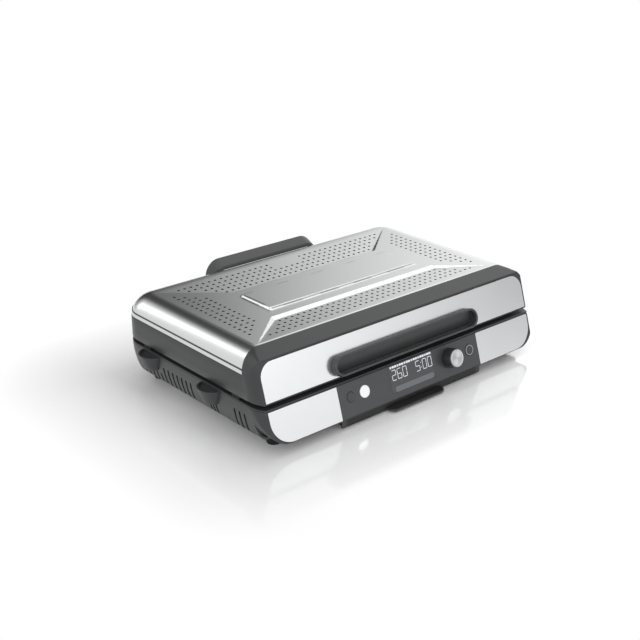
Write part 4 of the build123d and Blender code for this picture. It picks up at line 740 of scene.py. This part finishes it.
def lid_frame_outline(depth):
    """Outline of the lid's front frame at a depth, from the lower right over the top to the lower left."""
    limit, low = plan_limit(depth), face_up(LID_EDGE, depth)
    points = arc(limit - FRAME_CORNER, low + FRAME_CORNER, FRAME_CORNER, -90, 0, 6)
    points += [(limit, low + 4.5 + n * 3.0) for n in range(9)]
    for n in range(1, 25):
        angle = math.radians(8.9 + (90 - 8.9) * n / 24)
        up = face_up(ROOF_MIDDLE + ROOF_RADIUS * math.sin(angle), depth)
        # the frame's top falls towards the front, so the height that it allows is closed in on step by step
        for _ in range(7):
            y = -SEAM_FRONT + depth * LEAN_COSINE + FACE_UP.y * up
            up = min(up, face_up(LID_TOP - BAND_SLOPE * max(0.0, SKIN_FRONT - y), depth))
        points.append((min(limit, ROOF_SIDE + ROOF_RADIUS * math.cos(angle)), up))
    points += [(ROOF_SIDE * (1 - n / 6), points[-1][1]) for n in range(1, 6)]
    return points + mirrored(points)


def base_frame_outline(depth):
    """Outline of the base's front frame at a depth, from the upper left under the bottom to the upper right."""
    limit, top = plan_limit(depth), face_up(DECK_BOTTOM, depth)
    first = min(limit, HALF_WIDTH + base_offset(DECK_BOTTOM, FRAME_ROUND))
    points = arc(first - FRAME_CORNER, top - FRAME_CORNER, FRAME_CORNER, 90, 6, 6)
    heights = [DECK_BOTTOM - 2.6 - n * 2.0 for n in range(8)]
    heights += [BASE_BOTTOM + FRAME_ROUND * (1 - math.sin(math.radians(a))) for a in range(18, 91, 6)]
    points += [(min(limit, HALF_WIDTH + base_offset(z, FRAME_ROUND)), face_up(z, depth)) for z in heights]
    corner, low = points[-1]
    points += [(corner * (1 - n / 6), low) for n in range(1, 6)]
    return [(-x, y) for x, y in points] + points[::-1]


def front_frame(name, outline, holes, body, replaced, edge):
    """A dark front frame: wrap behind the face, rounded front edge and a flat front with its openings."""
    rings = [[face_point(x, up, -depth) for x, up in outline(depth)] for depth in FRAME_DEPTHS + (edge,)]
    last = []
    for n in range(1, 7):
        angle = math.radians(90 * n / 6)
        depth = edge * (1 - math.sin(angle))
        last = offset_loop(outline(depth), edge * (1 - math.cos(angle)))
        rings.append([face_point(x, up, -depth) for x, up in last])
    size = len(last)
    vertices = [point for ring in rings for point in ring]
    faces = quads(len(rings), size, True)
    start = len(vertices) - size
    points, edges = [Vector(p) for p in last], ring_edges(0, size)
    for hole in holes:
        edges += ring_edges(len(points), len(hole))
        points += [Vector(p) for p in hole]
    flat, _, triangles, origins, _, _ = delaunay_2d_cdt(points, edges, [], 2, 1e-5)
    index = []
    for point, olds in zip(flat, origins):
        on_rim = bool(olds) and min(olds) < size
        index.append(start + min(olds) if on_rim else len(vertices))
        if not on_rim:
            vertices.append(face_point(point.x, point.y, 0.0))
    for triangle in triangles:
        if not any(within(*face_middle(flat, triangle), hole) for hole in holes):
            faces.append(tuple(index[i] for i in triangle))
    obj = piece(new_mesh(name, vertices, faces), MOULDING, body, replaced, 40)
    look_out(obj.data)
    thicken(obj, FRAME_SHEET)


# ---------------------------------------------------------------- panels on the leaning face
CONTROL_MIDDLE, CONTROL_UP = -25.95, -22.9                 # middle of the fascia, and the line of the buttons
WINDOW_X, WINDOW_UP = 1.0, -22.65
KNOB_X = 66.3
BUTTONS = [("start", -79.7, 15.2, PALE, "start_cap"), ("power", -102.1, 12.0, CAP, "button_cap"),
           ("mode", 104.1, 14.7, CAP, "button_cap")]       # middle, diameter, finish and slot
PANEL_SHEET, PANEL_EDGE = 1.5, 0.35


def lid_panel_outline(margin):
    """Silver lid panel: square below, rounded above."""
    half, low, high, radius = 222.3 + margin, 4.7 - margin, 50.7 + margin, 19.0 + margin
    right = [(half, low)] + arc(half - radius, high - radius, radius, 0, 90, 12)
    return right + mirrored(right)


def base_panel_outline(side, margin):
    """Silver base panel beside the controls, rounded at its lower outer corner."""
    inner, outer, high, low, radius = 120.6 - margin, 222.6 + margin, -5.2 + margin, -46.7 - margin, 29
    points = [(inner, high), (inner, low)]
    points += arc(outer - radius, low + radius, radius, -90, 0, 14) + [(outer, high)]
    return points if side > 0 else mirrored(points)


def pull_outline(shrink):
    """The front handle's bar with round ends."""
    width, height = 2 * (122.5 - shrink), 25.4 - 2 * shrink
    return rounded(width, height, height / 2 - 0.001, 0.0, 17.6, 20)


front_frame("lid_front_frame", lid_frame_outline, [lid_panel_outline(0.5)], "lid", ["lid_bezel"], 1.6)
base_openings = [base_panel_outline(-1, 0.5), base_panel_outline(1, 0.5)]
base_openings.append(rounded(240.6, 41.7, 0.4, 0, CONTROL_MIDDLE, 3))
front_frame("base_front_frame", base_frame_outline, base_openings, "base", ["base_bezel"], 0.6)

face = face_place()
piece(slab("lid_silver_panel", [lid_panel_outline(0), pull_outline(2.7)], face, -PANEL_SHEET, 0.0, PANEL_EDGE),
      SILVER, "lid", ["lid_front_panel"])
for side, side_name in SIDES:
    sheet = slab("base_silver_" + side_name, [base_panel_outline(side, 0)], face, -PANEL_SHEET, 0.0, PANEL_EDGE)
    piece(sheet, SILVER, "base", ["base_panel_" + side_name])
openings = [rounded(240.4, 41.5, 0.8, 0, CONTROL_MIDDLE, 4), rounded(76.2, 33.7, 1.6, WINDOW_X, WINDOW_UP, 5)]
openings += [circle(diameter / 2 + 0.3, x, CONTROL_UP) for _, x, diameter, _, _ in BUTTONS]
openings.append(circle(4.3, KNOB_X, CONTROL_UP))
piece(slab("control_fascia", openings, face, -2.0, 0.0, 0.3), FASCIA, "base", ["control_panel"])
window = rounded(76.0, 33.5, 1.5, WINDOW_X, WINDOW_UP, 6)
piece(slab("display_window", [window], face, -2.0, 0.0, 0.25), LENS, "base", ["display_lens"])

# ---------------------------------------------------------------- lit display
# The seven strokes of a figure, from and to, in strokes across and up from its lower left corner.
STROKES = {"a": (0, 2, 1, 2), "b": (1, 1, 1, 2), "c": (1, 0, 1, 1), "d": (0, 0, 1, 0), "e": (0, 0, 0, 1),
           "f": (0, 1, 0, 2), "g": (0, 1, 1, 1)}
FIGURES = {"0": "abcdef", "2": "abged", "5": "afgcd", "6": "afgedc"}
FIGURE_WIDTH, FIGURE_HEIGHT, STROKE = 7.2, 13.2, 0.8


def figure(value, x, up):
    """Outlines of the lit strokes of one figure, each pointed at both ends, its lower left corner given."""
    shapes = []
    across, rise = FIGURE_WIDTH - STROKE, (FIGURE_HEIGHT - STROKE) / 2
    for key in FIGURES[value]:
        x0, y0, x1, y1 = STROKES[key]
        a = Vector((x + STROKE / 2 + x0 * across, up + STROKE / 2 + y0 * rise))
        b = Vector((x + STROKE / 2 + x1 * across, up + STROKE / 2 + y1 * rise))
        tip = (b - a).normalized() * STROKE / 2
        half = Vector((-tip.y, tip.x))
        a, b = a + tip * 0.36, b - tip * 0.36
        shapes.append([a, a + tip + half, b - tip + half, b, b - tip - half, a + tip - half])
    return shapes


def display():
    """A bar scale, two figures and a lower marker shining through the window, as films on its face."""
    low, scale_up, marker_up, dots_x, dots_rise = -24.3, -7.6, -35.6, 17.3, 3.6
    shapes = [circle(0.55, dots_x, up, 12) for up in (low + dots_rise, low + FIGURE_HEIGHT - dots_rise)]
    for value, x in (("2", -33.2), ("6", -24.0), ("0", -14.8), ("5", 7.8), ("0", 19.6), ("0", 28.8)):
        shapes += figure(value, x, low)
    shapes += [rounded(3.5 if n % 3 else 2.4, 2.6, 0.3, -33.4 + n * 4.0, scale_up, 2) for n in range(18)]
    films = [slab("lit_part", [shape], face, 0.0, 0.06) for shape in shapes]
    piece(joined("display_figures", films), LIT, "base")
    marker = slab("display_bar", [rounded(67.0, 7.0, 3.0, 2.5, marker_up, 8)], face, 0.0, 0.05)
    piece(marker, DIM, "base")


display()


# ---------------------------------------------------------------- knob and buttons
def knob():
    """Knob skirt with a soft base flange and shoulder, and its spun disc with a turned groove."""
    place = face_place(KNOB_X, CONTROL_UP)
    skirt = [(3.2, 0.7), (11.2, 0.7), (12.6, 0.7), (12.85, 0.95), (12.83, 1.6), (12.2, 12.7), (11.95, 13.3),
             (11.5, 13.6), (3.0, 13.6)]
    piece(turned("knob_skirt", skirt, place, 96), SKIRT, "knob", ["knob"])
    disc = [(0.0, 14.55), (9.2, 14.62), (9.6, 14.5), (9.9, 14.62), (10.8, 14.72), (11.15, 14.5), (11.25, 14.2),
            (11.25, 13.6)]
    piece(turned("knob_disc", disc, Matrix.Identity(4), 96), SPUN, "knob", ["knob_cap"], place=place)


knob()


def button(name, x, diameter, finish, slot_name):
    """A push button: a cap with a soft raised rim, and the collar and stem behind it."""
    place = face_place(x, CONTROL_UP)
    r = diameter / 2
    cap = [(0.0, 0.55), (r * 0.55, 0.6), (r - 1.2, 0.8), (r - 0.5, 0.72), (r - 0.08, 0.4), (r, 0.0), (r, -3.6)]
    collar = [(r - 0.1, -2.2), (r + 1.0, -2.2), (r + 1.0, -3.6), (1.5, -3.6), (1.5, -9.2), (0.0, -9.2)]
    parts = [turned(name + "_cap", cap, place, 72), turned(name + "_collar", collar, place, 40)]
    piece(joined(name + "_button_cap", parts), finish, name + "_button", [name + "_button"])
    if name == "mode":
        ring = slab("mode_ring", [circle(r - 0.9), circle(r - 1.5)], place, 0.7, 0.82)
        piece(ring, SPUN, "mode_button")


for entry in BUTTONS:
    button(*entry)


# ---------------------------------------------------------------- handles
def front_handle():
    """Low pull: a proud round-ended rim and a finger pocket with a leaning floor."""
    bottom = -8.0
    rim = slab("pull_rim", [pull_outline(0), pull_outline(3.0)], face, 0.0, 9.0, 1.3, 5)
    tube = slab("pull_tube", [pull_outline(3.0), pull_outline(4.2)], face, bottom, 1.5)
    outline = pull_outline(2.9)
    vertices = [face_point(x, up, 2.0 - (27.3 - up) * math.tan(math.radians(17))) for x, up in outline]
    vertices += [face_point(x, up, bottom) for x, up in outline]
    n = len(outline)
    faces = [tuple(range(n)), tuple(reversed(range(n, 2 * n)))]
    faces += [(i, (i + 1) % n, n + (i + 1) % n, n + i) for i in range(n)]
    pocket = new_mesh("pull_pocket", vertices, faces)
    piece(joined("front_pull", [rim, tube, pocket]), HANDLE, "lid", ["lid_handle"])


front_handle()


def roof_top(y):
    """Height of the roof at a distance back, past its flat."""
    away = y - ROOF_BACK
    if away <= 0:
        return LID_TOP
    if y > REAR_WALL:
        return -1e3
    return ROOF_MIDDLE + math.sqrt(max(0.0, ROOF_RADIUS ** 2 - away ** 2))


def rear_handle():
    """Broad strap, tilted to the user and bowed over the rear edge, standing on two feet. It is cut back where
    the lid's shoulder comes up to it."""
    tilt = math.radians(25)
    along = Vector((0.0, math.cos(tilt), math.sin(tilt)))
    front, wide, thick, edge = 139.0, 18.3, 5.5, 1.6
    foot_x, foot_z, foot_end = 85.0, 78.0, 155.5
    end_x, bend, top_z = 71.0, 22.0, 91.6
    stations = [(end_x + bend, z, 1.0, 0.0) for z in (71.5, 76, 80, 84, 87, 89.5)]
    for n in range(17):
        nx, nz = math.cos(math.radians(90 * n / 16)), math.sin(math.radians(90 * n / 16))
        stations.append((end_x + bend * nx, top_z + bend * nz, nx, nz))
    stations += [(end_x * (1 - n / 10), top_z + bend, 0.0, 1.0) for n in range(1, 10)]
    stations += [(-x, z, -nx, nz) for x, z, nx, nz in reversed(stations)]
    sections = []
    for x, z, nx, nz in stations:
        first = 0.0
        while first < 16.0:
            y = front + first * along.y
            inner_z = z - nz * thick + first * along.z
            if y > REAR_WALL + 1.6 or inner_z > roof_top(y + 1.0) + 1.4:
                break
            first += 0.1
        small = min(edge, (wide - first) / 3)
        outline = arc(-edge, wide - edge, edge, 0, 90, 4) + arc(edge - thick, wide - edge, edge, 90, 180, 4)
        outline += arc(small - thick, first + small, small, 180, 270, 4)
        outline += arc(-small, first + small, small, 270, 360, 4)
        sections.append([(x + nx * t, front + along.y * w, z + nz * t + along.z * w) for t, w in outline])
    upright = Matrix(((1, 0, 0, 0), (0, 0, -1, 0), (0, 1, 0, 0), (0, 0, 0, 1)))
    parts = [swept("strap", sections)]
    for side, _ in SIDES:
        pad = rounded(16.0, 14.0, 2.0, side * foot_x, foot_z, 5)
        parts.append(slab("strap_foot", [pad], upright, -foot_end, -REAR_WALL, 0.8))
    orient(piece(joined("rear_strap", parts), HANDLE, "lid", ["rear_handle"]))


rear_handle()


# ---------------------------------------------------------------- deck, lugs and feet
def deck():
    """Thin deck with the cooking opening and a low rib that keeps spatter off the seam."""
    front = front_y(BASE_RIM)
    corner = arc(HALF_WIDTH - FRONT_BULGE, front + CORNER_DEPTH, FRONT_BULGE, 0, -34.5, 10)
    right = arc(CORNER_X, CORNER_Y, CORNER_RADIUS, 90, 0, 14) + [(x, max(y, front)) for x, y in corner]
    right.reverse()
    opening = rounded(376.0, 226.0, 22.0, 0, PLATE_MIDDLE, 10)
    sheet = slab("deck_sheet", [right + mirrored(right), opening], flat_place(), DECK_BOTTOM, BASE_RIM, 0.5)
    rib_front, rib_back, rib_width, rib_wall = front + 10, 138.0, 442.0, 2.0
    loops = []
    for inset in (0.0, rib_wall):
        loops.append(rounded(rib_width - 2 * inset, rib_back - rib_front - 2 * inset, 26.0 - inset, 0,
                             (rib_front + rib_back) / 2, 10))
    rib = slab("deck_rib", loops, flat_place(), BASE_RIM - 0.4, LID_EDGE - 0.3, 0.6)
    piece(joined("deck_plate", [sheet, rib]), MOULDING, "base", ["deck"])


deck()


def lug(side, y, node):
    """Half-round dished lug under the rim."""
    low, high = 32.6, 52.6
    profile = [(0.0, low), (10.6, low), (11.6, low + 0.3), (12.2, low + 1.2)]
    for rise in (4, 8, 12, 16):
        share = rise / (high - low)
        profile.append((12.0 + 8.0 * share + 0.35 * math.sin(math.pi * share), low + rise))
    profile += [(19.75, high - 0.9), (19.8, high - 0.35), (19.5, high), (17.6, high), (17.1, high - 0.3),
                (16.6, high - 1.7), (15.5, high - 2.0), (0.0, high - 2.0)]
    middle = 0 if side > 0 else 180
    mesh = turned("lug_" + node, profile, flat_place(side * 226.0, y), 48, middle - 112, middle + 112)
    orient(piece(mesh, MOULDING, "base", ["lift_lug_" + node]))


def foot(side, y, node):
    """Turned rubber foot that widens upwards."""
    profile = [(0.0, 0.0), (7.4, 0.0), (8.3, 0.25), (8.6, 1.0), (9.3, 6.0), (9.9, 12.0), (9.9, BASE_BOTTOM),
               (0.0, BASE_BOTTOM)]
    mesh = turned("pad_foot_" + node, profile, flat_place(side * 198.0, y), 40)
    orient(piece(mesh, RUBBER, "base", ["foot_" + node]))


for side, side_name in SIDES:
    for end_name, y in LUG_PLACES.items():
        lug(side, y, end_name + "_" + side_name)
    for end_name, y in FOOT_PLACES.items():
        foot(side, y, end_name + "_" + side_name)


# ---------------------------------------------------------------- drip tray
def tray():
    """Shallow tray with flanges, a front and a rounded pull lip."""
    width, length, low, high = 232.0, 190.0, 2.2, 11.6
    front = front_y(BASE_BOTTOM) + 2.0
    middle = front + length / 2
    floor_plan = rounded(width, length, 3.0, 0, middle, 5)
    hollow = rounded(width - 3.0, length - 3.5, 1.5, 0, middle + 0.25, 4)
    parts = [slab("tray_walls", [floor_plan, hollow], flat_place(), low + 0.4, high, 0.3),
             slab("tray_floor", [floor_plan], flat_place(), low, low + 1.5, 0.5),
             slab("tray_front", [rounded(240.4, 3.0, 0.8, 0, front + 1.5, 4)], flat_place(), low, high, 0.5)]
    lip = [(47.0, front + 1.0), (-47.0, front + 1.0)] + arc(-38.2, front - 2.2, 8.8, 180, 270, 10)
    lip += arc(38.2, front - 2.2, 8.8, 270, 360, 10)
    parts.append(slab("tray_lip", [lip], flat_place(), low, low + 3.0, 0.9, 4))
    for side, _ in SIDES:
        flange = rounded(6.0, length, 0.5, side * 118.0, middle, 3)
        parts.append(slab("tray_flange", [flange], flat_place(), high - 1.5, high, 0.3))
    piece(joined("drip_tray_body", parts), TRAY, "drip_tray", ["drip_tray"])


tray()


# ---------------------------------------------------------------- cooking parts
def grill_plate():
    """Coated cast plate: soft rim, drained gutter and round-topped ridges."""
    brim, top, floor, bottom = 56.4, 59.4, 48.0, 44.0
    rim = rounded(390, 240, 29, 0, PLATE_MIDDLE, 12)
    outside = rounded(370, 220, 19, 0, PLATE_MIDDLE, 12)
    hollow = rounded(362, 212, 15, 0, PLATE_MIDDLE, 12)
    drain = circle(7.0, 0, -83.5, 40)
    parts = [slab("plate_rim", [rim, hollow], flat_place(), brim, top, 1.2, 4),
             slab("plate_wall", [outside, hollow], flat_place(), bottom + 0.2, top - 0.6),
             slab("plate_floor", [outside, drain], flat_place(), bottom, floor, 0.6)]
    pitch, half_width = 14.0, 167.0
    front, back = PLATE_MIDDLE - 89, PLATE_MIDDLE + 92
    swell = ((front, 0.25), (front + 0.8, 0.7), (front + 2.5, 1.0), (back - 2.5, 1.0), (back - 0.8, 0.7),
             (back, 0.25))
    count = int(2 * half_width / pitch) + 1
    for number in range(count):
        x = (number - (count - 1) / 2) * pitch
        sections = []
        for y, size in swell:
            foot_half = 2.5 * min(1, size + 0.2)
            ring = [(x - foot_half, y, floor - 0.2)]
            for degrees in range(0, 181, 20):
                angle = math.radians(degrees)
                ring.append((x - 1.25 * size * math.cos(angle), y, floor + (4.9 + 1.1 * math.sin(angle)) * size))
            sections.append(ring + [(x + foot_half, y, floor - 0.2)])
        parts.append(swept("ridge", sections))
    piece(joined("plate_casting", parts), CAST, "base", ["grill_plate"])


grill_plate()


def element():
    """Round sheathed element with one long bend."""
    lo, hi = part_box("heating_element")
    near, far = lo.y / MM + 3.25, hi.y / MM - 3.25
    end, reach, bend, radius = lo.x / MM, 140.0, 20.0, 3.2
    middle = Vector((0, 0, (lo.z + hi.z) / 2 / MM))
    path = [(end, near), (-60, near), (60, near)] + arc(reach - bend, near + bend, bend, -90, 0, 10)
    path += arc(reach - bend, far - bend, bend, 0, 90, 10) + [(60, far), (-60, far), (end, far)]
    sections = []
    for i, (x, y) in enumerate(path):
        a, b = path[max(0, i - 1)], path[min(len(path) - 1, i + 1)]
        along = Vector((b[0] - a[0], b[1] - a[1], 0)).normalized()
        across = Vector((-along.y, along.x, 0))
        ring = []
        for k in range(20):
            angle = 2 * math.pi * k / 20
            rise = Vector((0, 0, radius * math.sin(angle)))
            ring.append(Vector((x, y, 0)) + middle + across * radius * math.cos(angle) + rise)
        sections.append(ring)
    orient(piece(swept("element_tube", sections), SHEATH, "base", ["heating_element"]))


element()

# ---------------------------------------------------------------- nodes shown as the construction has them
KEPT = (
    (LINER, ("splash_baffle",)),
    (RUBBER, ("lid_pads",)),
    (POWDER, ("hinge_arm_left", "hinge_arm_right", "hinge_bracket_left", "hinge_bracket_right")),
    (MACHINED, ("baffle_posts", "hinge_pins", "clamp_screws", "strap_screws", "knob_encoder", "temperature_probe",
                "thermal_fuse", "cover_screws", "knob_shaft")),
    (ZINC, ("handle_clamps", "heat_reflector", "element_supports", "grease_chute", "bottom_cover")),
    (BLOCK, ("display_module",)),
    (LAMINATE, ("control_board", "power_board")),
    (BLACK, ("button_switches", "cord_gland", "tray_runner_left", "tray_runner_right")),
)
for finish, node_name in [(finish, node_name) for finish, node_names in KEPT for node_name in node_names]:
    node = frame["nodes"][node_name]
    node.data.materials.clear()
    node.data.materials.append(finish)
    edges = node.modifiers.new("edges", "BEVEL")
    edges.width = 0.25 * MM
    edges.segments = 2
    edges.limit_method = "ANGLE"
    edges.angle_limit = math.radians(40)


# ---------------------------------------------------------------- studio, in metres
def panel_light(name, size, place, target, power):
    """A soft white rectangular lamp that looks at a point."""
    data = bpy.data.lights.new(name, "AREA")
    data.shape = "RECTANGLE"
    data.size, data.size_y = size
    data.energy = power
    lamp = bpy.data.objects.new(name, data)
    collection.objects.link(lamp)
    lamp.location = place
    lamp.rotation_euler = (Vector(target) - Vector(place)).to_track_quat("-Z", "Y").to_euler()
    lamp.visible_camera = False


def floor_material():
    """White lacquered table: a shadow and a soft mirror image near the grill, and plain white away from it."""
    made = bpy.data.materials.new("White lacquered studio table")
    tree = empty_tree(made)
    place = add(tree, "ShaderNodeTexCoord")
    noise = add(tree, "ShaderNodeTexNoise", [(place.outputs["Object"], "Vector")], Scale=8.0, Detail=2.0)
    sheen = add(tree, "ShaderNodeMapRange", [(noise.outputs["Fac"], "Value")], To_Min=0.10, To_Max=0.13)
    matt = add(tree, "ShaderNodeBsdfDiffuse", Color=srgb("FAFAFA"))
    mirror = add(tree, "ShaderNodeBsdfGlossy", [(sheen.outputs[0], "Roughness")], Color=srgb("FFFFFF"))
    mixed = add(tree, "ShaderNodeMixShader", [(matt.outputs[0], 1), (mirror.outputs[0], 2)], Fac=0.42)
    # how far a place lies outside the grill's footprint
    sides = add(tree, "ShaderNodeVectorMath", [(place.outputs["Object"], 0)], {"operation": "ABSOLUTE"})
    past = add(tree, "ShaderNodeVectorMath", [(sides.outputs[0], 0)], {"operation": "SUBTRACT"})
    past.inputs[1].default_value = (HALF_WIDTH * MM, REAR_WALL * MM, 0)
    clear = add(tree, "ShaderNodeVectorMath", [(past.outputs[0], 0)], {"operation": "MAXIMUM"})
    clear.inputs[1].default_value = (0, 0, 0)
    away = add(tree, "ShaderNodeVectorMath", [(clear.outputs[0], 0)], {"operation": "LENGTH"})
    fade = add(tree, "ShaderNodeMapRange", [(away.outputs["Value"], "Value")], From_Min=0.01, From_Max=0.16,
               To_Min=0.06, To_Max=1.0)
    path = add(tree, "ShaderNodeLightPath")
    shown = add(tree, "ShaderNodeMath", [(path.outputs["Is Camera Ray"], 0), (path.outputs["Is Glossy Ray"], 1)],
                {"operation": "ADD"})
    share = add(tree, "ShaderNodeMath", [(fade.outputs[0], 0), (shown.outputs[0], 1)], {"operation": "MULTIPLY"})
    white = add(tree, "ShaderNodeEmission", Strength=1.0)
    whole = add(tree, "ShaderNodeMixShader", [(share.outputs[0], 0), (mixed.outputs[0], 1), (white.outputs[0], 2)])
    add(tree, "ShaderNodeOutputMaterial", [(whole.outputs[0], "Surface")])
    return made


# What the metal mirrors: degrees round from the right, anticlockwise from above, and how light it is there.
SURROUND = [(-180, 0.70), (-100, 0.90), (-58, 1.0), (-50, 0.95), (-42, 0.30), (-30, 0.15), (-5, 0.55), (18, 1.0),
            (39, 1.0), (48, 0.62), (56, 0.15), (64, 0.03), (84, 0.05), (98, 0.50), (116, 0.75), (135, 0.8),
            (180, 0.70)]


def world():
    """White to the camera; to all else, light screens with darker gaps round the table."""
    scene.world = bpy.data.worlds.new("Studio")
    tree = empty_tree(scene.world)
    way = add(tree, "ShaderNodeTexCoord")
    split = add(tree, "ShaderNodeSeparateXYZ", [(way.outputs["Generated"], "Vector")])
    angle = add(tree, "ShaderNodeMath", [(split.outputs["Y"], 0), (split.outputs["X"], 1)],
                {"operation": "ARCTAN2"})
    turn = add(tree, "ShaderNodeMapRange", [(angle.outputs[0], "Value")], From_Min=-math.pi, From_Max=math.pi)
    ramp = add(tree, "ShaderNodeValToRGB", [(turn.outputs[0], "Fac")])
    stops = ramp.color_ramp.elements
    while len(stops) < len(SURROUND):
        stops.new(0.5)
    for stop, (degrees, level) in zip(stops, SURROUND):
        stop.position = (degrees + 180) / 360
        stop.color = (level, level, level, 1)
    path = add(tree, "ShaderNodeLightPath")
    seen = add(tree, "ShaderNodeBackground", Color=(1, 1, 1, 1), Strength=1.0)
    around = add(tree, "ShaderNodeBackground", [(ramp.outputs["Color"], "Color")], Strength=1.3)
    mix = add(tree, "ShaderNodeMixShader",
              [(path.outputs["Is Camera Ray"], 0), (around.outputs[0], 1), (seen.outputs[0], 2)])
    add(tree, "ShaderNodeOutputWorld", [(mix.outputs[0], "Surface")])


world()
reach = 6
ground = bpy.data.meshes.new("table_top")
corners = [(x * reach, y * reach, 0) for x, y in ((-1, -1), (1, -1), (1, 1), (-1, 1))]
ground.from_pydata(corners, [], [(0, 1, 2, 3)])
table_top = bpy.data.objects.new("table_top", ground)
collection.objects.link(table_top)
ground.materials.append(floor_material())

# name, width and height, place, the point it looks at and watts
panel_light("top_softbox", (1.6, 1.2), (0.1, 0.1, 1.9), (0, 0, 0.06), 5)
panel_light("rear_left_strip", (0.35, 1.2), (-0.75, 1.25, 1.0), (-0.2, 0, 0.06), 1.6)
panel_light("upper_right_softbox", (0.9, 1.3), (1.2, 0.0, 1.45), (0, 0, 0.1), 2.4)
panel_light("left_softbox", (1.0, 1.0), (-1.7, -0.7, 0.9), (0, 0, 0.06), 7.5)
panel_light("front_fill", (1.4, 0.8), (0.3, -1.8, 0.7), (0, 0, 0.06), 2.5)

# the camera stands where the outline and the holes fall on those of the photograph
camera_data = bpy.data.cameras.new("camera")
camera_data.sensor_width = 36.0
camera_data.lens = 64.64
camera = bpy.data.objects.new("camera", camera_data)
collection.objects.link(camera)
scene.camera = camera
camera.matrix_world = Matrix((
    (0.752488, 0.252871, -0.608126, -0.9286),
    (-0.658598, 0.293333, -0.692967, -1.0304),
    (0.003151, 0.921961, 0.387271, 0.6429),
    (0, 0, 0, 1)))
camera_data.clip_start, camera_data.clip_end = 0.05, 30.0
scene.view_settings.view_transform = "Standard"
